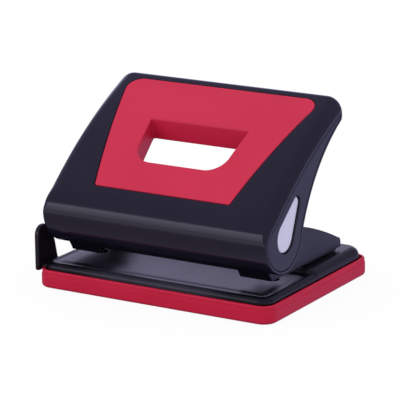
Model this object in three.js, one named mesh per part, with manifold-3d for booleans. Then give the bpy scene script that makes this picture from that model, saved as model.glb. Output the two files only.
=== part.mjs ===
// Two-hole desk punch in millimetres, +Z up, built on the middle of its tray's underside.
// Paper goes in from -Y, the pressing end of the handle is at +Y, and the holes lie along X.
import * as THREE from 'three';
import { mergeVertices } from 'three/addons/utils/BufferGeometryUtils.js';
import Module from 'manifold-3d';

const wasm = await Module();
wasm.setup();

// Fits, shared by every pair of pieces
const fitGap = 0.3;
const ringGap = 0.2;
const dieGap = 0.18;
const overrun = 1;

// The hole pattern that the paper gets
const holeSpacing = 80;
const holeDiameter = 5.5;
const holeToPaperEdge = 12;
const paperStopY = -3;

// Steel sheet of the base, the bracket and the press lever
const sheet = 1.2;
const leverSheet = 1.1;

// Chip tray
const trayBeyondHole = 14;
const trayDepth = 83.2;
const trayHeight = 7.4;
const trayCornerRadius = 6;
const trayWall = 1.4;
const trayLedge = 1.4;
const trayLedgeDrop = 1.8;
const trayFloor = 1.6;
const trayFootRound = 1.3;
const trayLipRound = 0.7;
const trayLineDrop = 2.2;
const trayLineInset = 0.25;

// Base plate
const deckRise = 2.7;
const stopRise = 1.8;
const rimRise = 0.8;
const rimWidth = 2.6;
const stopRimWidth = 4;
const stopPressInset = 0.12;
const frontCornerRadius = 5.5;
const rearCornerRadius = 6.5;
const grooveInset = 0.5;
const grooveWidth = 1.5;
const grooveDepth = 0.4;
const grooveToStop = 4;

// Punch bracket
const earBeyondHole = 6.5;
const pivotRise = 20.8;
const pinArm = 9.1;
const earLift = 0.9;
const earPivotRadius = 7.5;
const earTailY = 29.8;
const earTailHeight = 3.6;
const earTailRadius = 2.4;
const earShoulderBehindPivot = 16;
const earShoulderRise = 0;
const earTopBulge = 0.9;
const earLeaveAngle = THREE.MathUtils.degToRad(25);
const flangeFootAhead = 2.4;
const flangeKneeToNose = 0.28;
const flangeKneeAngle = THREE.MathUtils.degToRad(231.92);
const flangeTopToNose = 2.29;
const flangeTopAngle = THREE.MathUtils.degToRad(210.3);
const hemDepth = 3.1;
const hemRun = 2.9;
const hemToEar = 0.5;
const hemLength = 12.5;
const webBehindPin = 6.5;
const footBehindStop = 4;
const footLength = 26;

// Rivets that hold the bracket down
const rivetInset = 10.5;
const rivetPitch = 16;
const rivetShankRadius = 1.5;
const rivetHeadRadius = 2.8;
const rivetHeadHeight = 1.3;
const rivetTailRadius = 2.4;
const rivetTailHeight = 0.9;

// Pivot rod
const rodDiameter = 4;
const rodEndGap = 0.3;

// Press lever, its rollers and its screws
const armRadius = 5;
const rollerRadius = 2;
const rollerRise = 1;
const rollerLength = 7;
const leverToFace = 0.5;
const leverSlope = THREE.MathUtils.degToRad(39);
const leverAhead = 3;
const leverBehind = 10.3;
const screwToArm = 6.9;
const screwAlongLever = 3.4;
const screwShankRadius = 1;
const screwHeadRadius = 2.4;
const screwHeadHeight = 1.2;
const screwBite = 1.9;

// Punch pins, their clips and their springs
const pinTipRest = 0.2;
const pinTipRadius = 5.2;
const pinTipHollow = 0.9;
const pinNeckRadius = 2;
const pinHeadHeight = 0.7;
const clipThickness = 0.8;
const clipRadius = 4;
const wireDiameter = 0.8;
const springTurns = 5;

// Handle, measured from the pivot
const noseRadius = 14.8;
const faceRadius = 222;
const faceSlope = THREE.MathUtils.degToRad(41.5);
const faceLength = 63.5;
const noseLipAngle = THREE.MathUtils.degToRad(228.5);
const backLeaveAngle = THREE.MathUtils.degToRad(-20);
const backBulge = 5.2;
const rearRound = 3.5;
const rearWallHeight = 6.8;
const rearWallLean = 1.2;
const faceWall = 3.5;
const noseWall = 2.2;
const rearWall = 2.2;
const sideWall = 2;
const earToSideWall = 0.4;

// How the handle's skin rolls over into its side caps
const noseRollWidth = 2.5;
const noseSettle = 0.3;
const sideNoseRadius = 13.5;
const sideNoseAhead = 0.9;
const sideNoseDrop = 0.3;
const frontRollWidth = 4;
const frontRollDrop = 1.7;
const rearRollWidth = 8;
const rearRollDrop = 7;
const backRollWidth = 1.2;
const backRollDrop = 0.3;
const tipRadius = 1.6;
const tipSetback = 2.9;

// Side caps and the teardrop covers over the pivot
const capThickness = 2.3;
const capFrontRim = 0.5;
const capBackRim = 0.9;
const coverRadius = 6.2;
const coverTipRadius = 2.4;
const coverReach = 14.6;
const coverSlope = THREE.MathUtils.degToRad(54);
const coverThickness = 1;
const coverProud = 0.1;

// Grip panel and its finger slot, measured along the curved face
const panelStart = 2;
const panelEnd = 61.7;
const panelFrontHalf = 30.9;
const panelRearHalf = 45.1;
const panelFrontRadius = 0.8;
const panelRearRadius = 6;
const panelThickness = 1.6;
const slotStart = 16.6;
const slotEnd = 39.1;
const slotFrontHalf = 19.9;
const slotRearHalf = 22.6;
const slotFrontRadius = 8.5;
const slotRearRadius = 0.6;
const collarWall = 1.6;
const collarDepth = 8.5;
const drawLean = THREE.MathUtils.degToRad(10.7);

// Paper guide
const guideWidth = 12;
const guideThickness = 1.6;
const guideLength = 98;
const guideFromFront = 4.1;
const guideEndGap = 0.35;
const guideEndThickness = 1.2;
const guideEndFromFront = 1.9;
const guideEndDepth = 14.5;
const guideEndHeight = 18.6;
const guideEndTopDepth = 5.4;
const guideEndWaistRise = 11;
const guideEndWaistDepth = 11.7;
const guideEndTopRadius = 2.6;
const guideEndFrontRadius = 4;
const guideEndDrop = 1.1;
const guideNotchPitch = 6;
const guideNotchSize = 0.8;
const guideNotchCount = 14;
const hangerLength = 4;
const hangerToWall = 6;
const hangerPitch = 38;
const hangerSheet = 0.9;

// How finely round shapes are stepped
const cornerSteps = 5;
const edgeSteps = 3;
const holeSides = 32;
const noseSteps = 22;
const faceSteps = 14;
const backSteps = 10;
const rollSteps = 5;
const latheSides = 24;
const curlSteps = 8;
const wireSides = 5;

// Places that follow from the sizes above
const pinX = holeSpacing / 2;
const pinY = paperStopY - holeToPaperEdge;
const pinRadius = holeDiameter / 2;
const trayHalfX = pinX + trayBeyondHole;
const trayHalfY = trayDepth / 2;
const ledgeZ = trayHeight - trayLedgeDrop;
const deckZ = trayHeight + deckRise;
const stopZ = deckZ + stopRise;
const footZ = stopZ + fitGap;
const earFootZ = footZ + earLift;
const webZ = earFootZ + hemDepth;
const baseHalfX = trayHalfX - trayWall - fitGap;
const baseHalfY = trayHalfY - trayWall - fitGap;
const guideZ = deckZ - sheet - fitGap - guideThickness;
const guideFrontY = guideFromFront - trayHalfY;
const guideEndFrontY = guideEndFromFront - trayHalfY;
const earOuterX = pinX + earBeyondHole;
const earInnerX = earOuterX - sheet;
const pivotY = pinY - pinArm;
const pivotZ = deckZ + pivotRise;
const rodRadius = rodDiameter / 2;
const armOuterX = earInnerX - fitGap;
const armInnerX = armOuterX - leverSheet;
const cavityHalfX = earOuterX + earToSideWall;
const capSeatX = cavityHalfX + sideWall;
const handleHalfX = capSeatX + fitGap + capThickness;
const noseInner = noseRadius - noseWall;
const leverDistance = noseRadius - faceWall - leverToFace - leverSheet;
const screwX = armInnerX - screwToArm;
const sides = [[-1, 'left'], [1, 'right']];

// Points of an arc about a centre
function arcPoints(centre, radius, from, to, steps) {
  const points = [];
  for (let i = 0; i <= steps; i += 1) {
    const angle = THREE.MathUtils.lerp(from, to, i / steps);
    points.push([centre[0] + radius * Math.cos(angle), centre[1] + radius * Math.sin(angle)]);
  }
  return points;
}

// Points of the arc that joins two points and stands off their chord, to its left, by the bulge
function bulgedLine(from, to, bulge, steps) {
  const chord = new THREE.Vector2(to[0] - from[0], to[1] - from[1]);
  const length = chord.length();
  const left = new THREE.Vector2(-chord.y, chord.x).divideScalar(length);
  const radius = (length * length / 4 + bulge * bulge) / (2 * bulge);
  const half = Math.asin(length / 2 / radius);
  const points = [];
  for (let i = 0; i <= steps; i += 1) {
    const angle = THREE.MathUtils.lerp(-half, half, i / steps);
    const along = (Math.sin(angle) / Math.sin(half) + 1) / 2;
    const off = radius * Math.cos(angle) - (radius - bulge);
    points.push([from[0] + chord.x * along + left.x * off, from[1] + chord.y * along + left.y * off]);
  }
  return points;
}

// A closed outline from corners given as [u, v, radius]
function roundedOutline(corners, steps = cornerSteps) {
  return corners.flatMap(([u, v, radius], i) => {
    if (radius === 0) {
      return [[u, v]];
    }
    const at = new THREE.Vector2(u, v);
    const [beforeU, beforeV] = corners.at(i - 1);
    const [afterU, afterV] = corners[(i + 1) % corners.length];
    const before = new THREE.Vector2(beforeU, beforeV).sub(at).normalize();
    const after = new THREE.Vector2(afterU, afterV).sub(at).normalize();
    const half = Math.acos(before.dot(after)) / 2;
    const centre = before.clone().add(after).normalize().multiplyScalar(radius / Math.sin(half)).add(at);
    const start = before.clone().multiplyScalar(radius / Math.tan(half)).add(at).sub(centre);
    const sweep = Math.sign(after.cross(before)) * (Math.PI - 2 * half);
    return arcPoints([centre.x, centre.y], radius, start.angle(), start.angle() + sweep, steps);
  });
}

// A rectangle about the origin with its own front and rear corner radii
function roundedPlan(halfX, halfY, frontRadius, rearRadius) {
  return roundedOutline([
    [-halfX, -halfY, frontRadius],
    [halfX, -halfY, frontRadius],
    [halfX, halfY, rearRadius],
    [-halfX, halfY, rearRadius],
  ]);
}

// The outline moved inwards at each point by its own distance
function insetOutline(points, distances) {
  return points.map(([u, v], i) => {
    const [beforeU, beforeV] = points.at(i - 1);
    const [afterU, afterV] = points[(i + 1) % points.length];
    const along = new THREE.Vector2(afterU - beforeU, afterV - beforeV).normalize();
    return [u - along.y * distances[i], v + along.x * distances[i]];
  });
}

// A solid from a closed geometry, with its faces turned outwards
function solid(geometry) {
  geometry.deleteAttribute('normal');
  geometry.deleteAttribute('uv');
  const merged = mergeVertices(geometry);
  const vertProperties = new Float32Array(merged.attributes.position.array);
  const triVerts = new Uint32Array(merged.index.array);
  const [a, b, c] = [new THREE.Vector3(), new THREE.Vector3(), new THREE.Vector3()];
  let volume = 0;
  for (let i = 0; i < triVerts.length; i += 3) {
    a.fromArray(vertProperties, triVerts[i] * 3);
    b.fromArray(vertProperties, triVerts[i + 1] * 3);
    c.fromArray(vertProperties, triVerts[i + 2] * 3);
    volume += a.dot(b.cross(c));
  }
  if (volume < 0) {
    triVerts.reverse();
  }
  return new wasm.Manifold(new wasm.Mesh({ numProp: 3, vertProperties, triVerts }));
}

// A solid through outlines of equal count; place puts each outline's points in space
function loft(outlines, place) {
  const count = outlines[0].length;
  const last = outlines.length - 1;
  const placed = (outline, i) => outline.flatMap((point, j) => place(point, i, j).toArray());
  const positions = outlines.flatMap(placed);
  const faces = [];
  for (let i = 0; i < last; i += 1) {
    for (let j = 0; j < count; j += 1) {
      const k = (j + 1) % count;
      const [a, b, c, d] = [i * count + j, i * count + k, (i + 1) * count + k, (i + 1) * count + j];
      faces.push(a, b, c, a, c, d);
    }
  }
  const cap = (outline) => {
    const flat = outline.map(([u, v]) => new THREE.Vector2(u, v));
    return THREE.ShapeUtils.triangulateShape(flat, []);
  };
  const top = last * count;
  cap(outlines[0]).forEach(([a, b, c]) => faces.push(a, c, b));
  cap(outlines[last]).forEach(([a, b, c]) => faces.push(top + a, top + b, top + c));
  const geometry = new THREE.BufferGeometry();
  geometry.setAttribute('position', new THREE.Float32BufferAttribute(positions, 3));
  geometry.setIndex(faces);
  return solid(geometry);
}

// A solid whose [outline, z] levels are plan outlines
function stack(levels) {
  return loft(levels.map(([outline]) => outline), ([x, y], i) => new THREE.Vector3(x, y, levels[i][1]));
}

function extruded(outline, depth) {
  const shape = new THREE.Shape(outline.map(([u, v]) => new THREE.Vector2(u, v)));
  return new THREE.ExtrudeGeometry(shape, { depth, bevelEnabled: false });
}

// A side outline in (y, z) pushed along X
function across(outline, fromX, toX) {
  const yToZ = new THREE.Matrix4().makeBasis(
    new THREE.Vector3(0, 1, 0),
    new THREE.Vector3(0, 0, 1),
    new THREE.Vector3(1, 0, 0),
  );
  return solid(extruded(outline, toX - fromX).applyMatrix4(yToZ).translate(fromX, 0, 0));
}

function block(fromX, toX, fromY, toY, fromZ, toZ) {
  const box = new THREE.BoxGeometry(toX - fromX, toY - fromY, toZ - fromZ);
  return solid(box.translate((fromX + toX) / 2, (fromY + toY) / 2, (fromZ + toZ) / 2));
}

function uprightCylinder(radius, x, y, fromZ, toZ) {
  const cylinder = new THREE.CylinderGeometry(radius, radius, toZ - fromZ, holeSides);
  return solid(cylinder.rotateX(Math.PI / 2).translate(x, y, (fromZ + toZ) / 2));
}

function crossCylinder(radius, y, z, fromX, toX) {
  const cylinder = new THREE.CylinderGeometry(radius, radius, toX - fromX, holeSides);
  return solid(cylinder.rotateZ(Math.PI / 2).translate((fromX + toX) / 2, y, z));
}

// A turned piece about Z, from a profile of [radius, z] points that starts and ends on the axis
function turned(profile) {
  const points = profile.map(([radius, z]) => new THREE.Vector2(radius, z));
  return solid(new THREE.LatheGeometry(points, latheSides).rotateX(Math.PI / 2));
}

function joined(pieces) {
  return pieces.reduce((whole, next) => whole.add(next));
}

const finishes = {
  redPlastic: { color: 0xb02a4e, roughness: 0.55, metalness: 0 },
  blackPlastic: { color: 0x242230, roughness: 0.35, metalness: 0 },
  blackSteel: { color: 0x1e1c26, roughness: 0.3, metalness: 0.6 },
  zincSteel: { color: 0xb4b6bd, roughness: 0.35, metalness: 1 },
  springSteel: { color: 0x8d9096, roughness: 0.3, metalness: 1 },
  palePlastic: { color: 0xbdbdd4, roughness: 0.4, metalness: 0.2 },
};

// Hangs a named mesh on a group
function place(group, name, body, finish) {
  const { vertProperties, triVerts } = body.getMesh();
  const geometry = new THREE.BufferGeometry();
  geometry.setAttribute('position', new THREE.BufferAttribute(vertProperties, 3));
  geometry.setIndex(new THREE.BufferAttribute(triVerts, 1));
  const mesh = new THREE.Mesh(geometry, new THREE.MeshStandardMaterial({ ...finish, flatShading: true }));
  mesh.name = name;
  group.add(mesh);
  return mesh;
}

// Chip tray

function trayOutline(inset) {
  const radius = trayCornerRadius - inset;
  return roundedPlan(trayHalfX - inset, trayHalfY - inset, radius, radius);
}

// Levels of a quarter round of the tray's edge, from the foot up or towards the lip
function trayEdge(radius, inset, z, towardsTop) {
  const levels = [];
  for (let i = 0; i <= edgeSteps; i += 1) {
    const angle = (Math.PI / 2) * (towardsTop ? i : edgeSteps - i) / edgeSteps;
    const rise = radius * Math.sin(angle) * (towardsTop ? 1 : -1);
    levels.push([trayOutline(inset + radius * (1 - Math.cos(angle))), z + rise]);
  }
  return levels;
}

function chipTray() {
  const lineZ = trayHeight - trayLineDrop;
  const shell = stack([
    ...trayEdge(trayFootRound, 0, trayFootRound, false),
    [trayOutline(0), lineZ],
    [trayOutline(trayLineInset), lineZ],
    ...trayEdge(trayLipRound, trayLineInset, trayHeight - trayLipRound, true),
  ]);
  const chipSpace = prism(trayOutline(trayWall + trayLedge), trayFloor, trayHeight);
  const seat = prism(trayOutline(trayWall), ledgeZ, trayHeight + overrun);
  const wallInnerX = trayHalfX - trayWall;
  const guideMouth = block(
    -trayHalfX - overrun,
    -wallInnerX + overrun,
    guideFrontY - fitGap,
    guideFrontY + guideWidth + fitGap,
    guideZ - fitGap,
    trayHeight + overrun,
  );
  return shell.subtract(chipSpace).subtract(seat).subtract(guideMouth);
}

// Base plate

// The pan's outline, moved in from its widest line by the inset
function panOutline(inset) {
  return roundedPlan(
    baseHalfX - inset,
    baseHalfY - inset,
    frontCornerRadius - inset,
    rearCornerRadius - inset,
  );
}

// A pan from its foot up to a rim that rolls in to the given top
function pan(inset, foot, rollWidth, top) {
  const rimZ = trayHeight + rimRise;
  const levels = [[panOutline(inset), foot]];
  for (let i = 0; i <= cornerSteps; i += 1) {
    const angle = (Math.PI / 2) * i / cornerSteps;
    const rolled = THREE.MathUtils.lerp(rollWidth, inset, Math.cos(angle));
    levels.push([panOutline(rolled), THREE.MathUtils.lerp(rimZ, top, Math.sin(angle))]);
  }
  return stack(levels);
}

function prism(outline, fromZ, toZ) {
  return stack([[outline, fromZ], [outline, toZ]]);
}

function basePlate() {
  const behindStop = (y, z) => block(-trayHalfX, trayHalfX, y, trayHalfY, 0, z);
  const skirtZ = ledgeZ + fitGap;
  const raised = pan(stopPressInset, trayHeight, stopRimWidth, stopZ)
    .intersect(behindStop(paperStopY, stopZ + overrun));
  const hollow = prism(panOutline(sheet), skirtZ - overrun, deckZ - sheet);
  const raisedHollow = prism(panOutline(sheet + stopRimWidth / 3), skirtZ, stopZ - sheet)
    .intersect(behindStop(paperStopY + sheet, stopZ));
  const groove = prism(panOutline(rimWidth + grooveInset), deckZ - grooveDepth, deckZ + overrun)
    .subtract(prism(panOutline(rimWidth + grooveInset + grooveWidth), skirtZ, stopZ))
    .subtract(behindStop(paperStopY - grooveToStop, stopZ));

  let plate = joined([pan(0, skirtZ, rimWidth, deckZ), raised])
    .subtract(hollow)
    .subtract(raisedHollow)
    .subtract(groove);
  const guideRearY = guideFrontY + guideWidth;
  const wallInnerX = sheet - baseHalfX;
  const firstHangerX = wallInnerX + hangerToWall;
  for (const hangerX of [firstHangerX, firstHangerX + hangerPitch]) {
    const strap = block(
      hangerX - hangerLength / 2,
      hangerX + hangerLength / 2,
      guideFrontY - fitGap - hangerSheet,
      guideRearY + fitGap + hangerSheet,
      guideZ - fitGap - hangerSheet,
      deckZ - sheet / 2,
    );
    plate = plate.add(strap);
  }
  const guideWay = block(
    -trayHalfX,
    firstHangerX + hangerPitch + hangerLength,
    guideFrontY - fitGap,
    guideRearY + fitGap,
    guideZ - fitGap,
    deckZ - sheet,
  );
  const skirtWay = block(
    -trayHalfX,
    wallInnerX + overrun,
    guideFrontY - fitGap,
    guideRearY + fitGap,
    skirtZ - overrun,
    guideZ,
  );
  const holes = sides.map(([side]) => uprightCylinder(pinRadius + dieGap, side * pinX, pinY, skirtZ, stopZ));
  const cuts = [guideWay, skirtWay, ...holes, ...rivetPlaces.map(([x, y]) => rivetHole(x, y))];
  return cuts.reduce((body, cut) => body.subtract(cut), plate);
}

// Rivets between the bracket's foot and the raised deck

const footFrontY = paperStopY + footBehindStop;
const rivetPlaces = [0, 1].flatMap((row) => sides.map(([side, name]) => [
  side * (earOuterX - rivetInset),
  footFrontY + (footLength - rivetPitch) / 2 + row * rivetPitch,
  `bracket_rivet_${row === 0 ? 'front' : 'rear'}_${name}`,
]));

function rivetHole(x, y) {
  return uprightCylinder(rivetShankRadius + fitGap, x, y, deckZ, footZ + sheet + overrun);
}

// The rivet stands on the foot's top face at z zero
function rivet() {
  const grip = footZ + sheet - (stopZ - sheet);
  const shoulder = rivetHeadHeight / 2;
  return turned([
    [0, -grip - fitGap - rivetTailHeight],
    [rivetTailRadius, -grip - fitGap - rivetTailHeight / 2],
    [rivetTailRadius, -grip - fitGap],
    [rivetShankRadius, -grip - fitGap],
    [rivetShankRadius, fitGap],
    [rivetHeadRadius, fitGap],
    [rivetHeadRadius, fitGap + shoulder / 2],
    [rivetHeadRadius - shoulder, fitGap + shoulder + shoulder / 2],
    [0, fitGap + rivetHeadHeight],
  ]);
}

// Punch bracket

// The slanted front of the bracket, from its foot line up into the handle's nose
const flangeFoot = [pivotY - flangeFootAhead, earFootZ];
const flangeKnee = insideNose(flangeKneeToNose, flangeKneeAngle);
const flangeTop = insideNose(flangeTopToNose, flangeTopAngle);

// A place at a distance inside the handle's nose
function insideNose(distance, angle) {
  const radius = noseInner - distance;
  return [pivotY + radius * Math.cos(angle), pivotZ + radius * Math.sin(angle)];
}

function earOutline() {
  const tailZ = earFootZ + earTailHeight;
  const shoulder = [pivotY + earShoulderBehindPivot, pivotZ + earShoulderRise];
  const tail = roundedOutline([
    [flangeFoot[0], earFootZ, 0],
    [earTailY, earFootZ, earTailRadius / 4],
    [earTailY, tailZ, earTailRadius],
    [earTailY - earTailRadius, tailZ + earTailRadius / 3, 0],
  ]);
  const top = bulgedLine(shoulder, tail.at(-1), earTopBulge, backSteps).reverse();
  const round = arcPoints([pivotY, pivotZ], earPivotRadius, earLeaveAngle, Math.PI, noseSteps / 2);
  return [...tail, ...top.slice(1), ...round, flangeTop, flangeKnee];
}

// A strip of sheet that follows points, thickened to the inside of the bracket
function sheetStrip(points) {
  const behind = points.map(([y, z]) => [y + sheet, z]).reverse();
  return [...points, ...behind];
}

function punchBracket() {
  const flangeAtWeb = [
    THREE.MathUtils.mapLinear(webZ, flangeFoot[1], flangeKnee[1], flangeFoot[0], flangeKnee[0]),
    webZ,
  ];
  const webRearY = pinY + webBehindPin;
  const footHalfX = earOuterX - sheet / 2;
  const pieces = [
    across(sheetStrip([flangeAtWeb, flangeKnee, flangeTop].reverse()), -earOuterX, earOuterX),
    block(-earOuterX, earOuterX, flangeAtWeb[0], webRearY, webZ, webZ + sheet),
    block(-footHalfX, footHalfX, footFrontY, footFrontY + footLength, footZ, footZ + sheet),
  ];
  for (const [side] of sides) {
    const [earFrom, earTo] = [side * earInnerX, side * earOuterX].sort((a, b) => a - b);
    pieces.push(across(earOutline(), earFrom, earTo));
    const hemOuter = earInnerX - hemToEar;
    const [hemFrom, hemTo] = [side * hemOuter, side * (hemOuter - hemLength)].sort((a, b) => a - b);
    const front = sheetStrip([flangeAtWeb, flangeFoot]);
    const returnTop = [flangeFoot[0] + sheet + hemRun, webZ];
    const back = sheetStrip([flangeFoot, returnTop]);
    pieces.push(across(front, hemFrom, hemTo), across(back, hemFrom, hemTo));
  }
  const holes = [crossCylinder(rodRadius + fitGap, pivotY, pivotZ, -handleHalfX, handleHalfX)];
  for (const [side] of sides) {
    holes.push(uprightCylinder(pinRadius + fitGap, side * pinX, pinY, earFootZ, webZ + sheet + overrun));
  }
  rivetPlaces.forEach(([x, y]) => holes.push(rivetHole(x, y)));
  return holes.reduce((body, hole) => body.subtract(hole), joined(pieces));
}

// Punch pins with a hollow-ground tip and a neck for the clip; z is measured from the tip

const pinTipZ = earFootZ + pinTipRest;
const pinTopZ = pivotZ + rollerRise - rollerRadius - fitGap;
const pinLength = pinTopZ - pinTipZ;
const neckTop = pinLength - pinHeadHeight;
const neckFoot = neckTop - clipThickness - 2 * ringGap;

function punchPin() {
  const rod = turned([
    [0, 0],
    [pinRadius, 0],
    [pinRadius, neckFoot],
    [pinNeckRadius, neckFoot],
    [pinNeckRadius, neckTop],
    [pinRadius, neckTop],
    [pinRadius, pinLength],
    [0, pinLength],
  ]);
  const hollow = crossCylinder(pinTipRadius, 0, pinTipHollow - pinTipRadius, -holeDiameter, holeDiameter);
  return rod.subtract(hollow);
}

// A washer that sits in the pin's neck; its bore is smaller than the pin
function pinClip() {
  const bore = uprightCylinder(pinNeckRadius + ringGap, 0, 0, -overrun, clipThickness + overrun);
  return turned([[0, 0], [clipRadius, 0], [clipRadius, clipThickness], [0, clipThickness]]).subtract(bore);
}

// Return spring: one unbroken wire with upright ends, round the pin and on the bracket's web
const coilRadius = (pinRadius + fitGap + wireDiameter / 2) / Math.cos(Math.PI / curlSteps);
const springFootZ = webZ + sheet + fitGap;
const clipZ = pinTipZ + neckFoot + ringGap;
const springLength = clipZ - fitGap - springFootZ;

function springPath() {
  const points = [new THREE.Vector3(coilRadius, 0, 0)];
  const steps = springTurns * curlSteps;
  for (let i = 0; i <= steps; i += 1) {
    const angle = 2 * Math.PI * i / curlSteps;
    const z = THREE.MathUtils.lerp(wireDiameter, springLength - wireDiameter, i / steps);
    points.push(new THREE.Vector3(coilRadius * Math.cos(angle), coilRadius * Math.sin(angle), z));
  }
  points.push(new THREE.Vector3(coilRadius, 0, springLength));
  return points;
}

function returnSpring() {
  const path = springPath();
  const section = arcPoints([0, 0], wireDiameter / 2, 0, 2 * Math.PI, wireSides).slice(0, -1);
  const up = new THREE.Vector3(0, 0, 1);
  return loft(path.map(() => section), ([u, v], i) => {
    const before = path[Math.max(i - 1, 0)];
    const after = path[Math.min(i + 1, path.length - 1)];
    const end = i === 0 || i === path.length - 1;
    const along = end ? up : after.clone().sub(before).normalize();
    const outward = new THREE.Vector3(path[i].x, path[i].y, 0).normalize();
    const sideways = new THREE.Vector3().crossVectors(along, outward).normalize();
    const square = new THREE.Vector3().crossVectors(sideways, along).normalize();
    return path[i].clone().addScaledVector(square, u).addScaledVector(sideways, v);
  });
}

// The least clear distance between stretches of the spring that aren't neighbours
function springSelfGap() {
  const path = springPath();
  let least = Infinity;
  path.forEach((point, i) => {
    for (let j = i + curlSteps - 1; j < path.length; j += 1) {
      least = Math.min(least, point.distanceTo(path[j]) - wireDiameter);
    }
  });
  return least;
}

// Handle, in a frame whose origin is the pivot

const faceStart = [-noseRadius * Math.sin(faceSlope), noseRadius * Math.cos(faceSlope)];
const faceCentre = [
  faceStart[0] + faceRadius * Math.sin(faceSlope),
  faceStart[1] - faceRadius * Math.cos(faceSlope),
];

// A point of the face at a distance along it from the nose, sunk by a depth square to the face
function onFace(along, depth) {
  const slope = faceSlope - along / faceRadius;
  const radius = faceRadius - depth;
  return [faceCentre[0] - radius * Math.sin(slope), faceCentre[1] + radius * Math.cos(slope)];
}

// The face from its rear end forward to the nose, sunk by a depth
function facePoints(depth, fromAlong, toAlong) {
  const points = [];
  for (let i = 0; i <= faceSteps; i += 1) {
    points.push(onFace(THREE.MathUtils.lerp(fromAlong, toAlong, i / faceSteps), depth));
  }
  return points;
}

const rearSlope = faceSlope - faceLength / faceRadius;
const rearCentre = onFace(faceLength, rearRound);
const rearEdgeY = rearCentre[0] + rearRound;
const rearLip = [rearEdgeY - rearWallLean, rearCentre[1] - rearWallHeight];

// Each profile point holds its place on the middle skin, its place on the side cap's edge
// and the width over which the skin rolls from one to the other
function handleProfile() {
  const profile = [];
  const add = (middle, side, width) => profile.push({ middle, side, width });
  const noseFrom = Math.PI / 2 + faceSlope;
  const noseTo = 2 * Math.PI + backLeaveAngle;
  const middleNose = arcPoints([0, 0], noseRadius, noseFrom, noseTo, noseSteps);
  middleNose.slice(1, -1).forEach((middle, i) => {
    const share = (i + 1) / noseSteps;
    const settle = THREE.MathUtils.smoothstep(share, 0, noseSettle);
    const angle = THREE.MathUtils.lerp(noseFrom, noseTo, share);
    const radius = THREE.MathUtils.lerp(noseRadius - frontRollDrop, sideNoseRadius, settle);
    const side = [
      radius * Math.cos(angle) - sideNoseAhead * settle,
      radius * Math.sin(angle) - sideNoseDrop * settle,
    ];
    add(middle, side, THREE.MathUtils.lerp(frontRollWidth, noseRollWidth, settle));
  });

  const sideNoseEnd = [
    sideNoseRadius * Math.cos(backLeaveAngle) - sideNoseAhead,
    sideNoseRadius * Math.sin(backLeaveAngle) - sideNoseDrop,
  ];
  const tipCentre = onFace(faceLength - tipSetback, rearRollDrop + tipRadius);
  const roundTo = Math.PI / 2 + rearSlope;
  const tipRound = arcPoints(tipCentre, tipRadius, -Math.PI / 4, roundTo, cornerSteps);
  const middleBack = bulgedLine(middleNose.at(-1), rearLip, backBulge, backSteps);
  const sideBack = bulgedLine(sideNoseEnd, tipRound[0], backBulge, backSteps);
  middleBack.slice(0, -1).forEach((far, i) => {
    const share = i / backSteps;
    const [sideY, sideZ] = sideBack[i];
    const near = [sideY + backRollDrop, sideZ - backRollDrop];
    const middle = [
      THREE.MathUtils.lerp(near[0], far[0], share ** 2),
      THREE.MathUtils.lerp(near[1], far[1], share ** 2),
    ];
    add(middle, sideBack[i], THREE.MathUtils.lerp(backRollWidth, rearRollWidth, share ** 4));
  });
  const rearArc = arcPoints(rearCentre, rearRound, 0, roundTo, cornerSteps - 1);
  [rearLip, ...rearArc].slice(0, -1).forEach((middle, i) => add(middle, tipRound[i], rearRollWidth));

  facePoints(0, faceLength, 0).forEach((middle, i) => {
    const share = 1 - i / faceSteps;
    const drop = THREE.MathUtils.lerp(frontRollDrop, rearRollDrop, share ** 2);
    const side = onFace((faceLength - tipSetback) * share, drop);
    add(middle, side, THREE.MathUtils.lerp(frontRollWidth, rearRollWidth, share ** 2));
  });
  return profile;
}

const profile = handleProfile();
const sideOutline = profile.map(({ side }) => side);

function handleSkin() {
  const stations = [];
  for (let i = 0; i <= rollSteps; i += 1) {
    stations.push([1, i / rollSteps]);
  }
  const all = [...stations.map(([, t]) => [-1, 1 - t]), ...stations];
  // How far a point at share t of its roll has gone over towards the side
  const turnOf = ({ middle, side, width }) => {
    const drop = Math.hypot(side[0] - middle[0], side[1] - middle[1]);
    return 2 * Math.atan(Math.max(drop, backRollDrop) / width);
  };
  const blend = (point, t) => (1 - Math.cos(t * turnOf(point))) / (1 - Math.cos(turnOf(point)));
  const reach = (point, t) => Math.sin(t * turnOf(point)) / Math.sin(turnOf(point));
  const outlines = all.map(([, t]) => profile.map((point) => [
    THREE.MathUtils.lerp(point.middle[0], point.side[0], blend(point, t)),
    THREE.MathUtils.lerp(point.middle[1], point.side[1], blend(point, t)),
  ]));
  return loft(outlines, ([y, z], i, j) => {
    const [side, t] = all[i];
    const x = handleHalfX - profile[j].width * (1 - reach(profile[j], t));
    return new THREE.Vector3(side * x, y, z);
  });
}

// The hollow of the handle, open at the back and below the nose's lip
function handleHollow() {
  const lipInner = [noseInner * Math.cos(noseLipAngle), noseInner * Math.sin(noseLipAngle)];
  const lipFar = [lipInner[0] * 3, lipInner[1] * 3];
  const nose = arcPoints([0, 0], noseInner, Math.PI / 2 + faceSlope, noseLipAngle, noseSteps);
  const rearInner = onFace(faceLength - rearRound / 2, faceWall);
  const rearInnerY = rearEdgeY - rearWall;
  return across([
    [rearInnerY, lipFar[1]],
    [rearInnerY, rearInner[1] - rearWall],
    ...facePoints(faceWall, faceLength - rearRound, 0),
    ...nose,
    lipFar,
  ], -cavityHalfX, cavityHalfX);
}

// The part of the handle between two depths under its face
function faceSlab(fromDepth, toDepth) {
  const upper = facePoints(fromDepth, faceLength + rearRound, -noseRadius);
  const lower = facePoints(toDepth, -noseRadius, faceLength + rearRound);
  return across([...upper, ...lower], -handleHalfX, handleHalfX);
}

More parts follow.
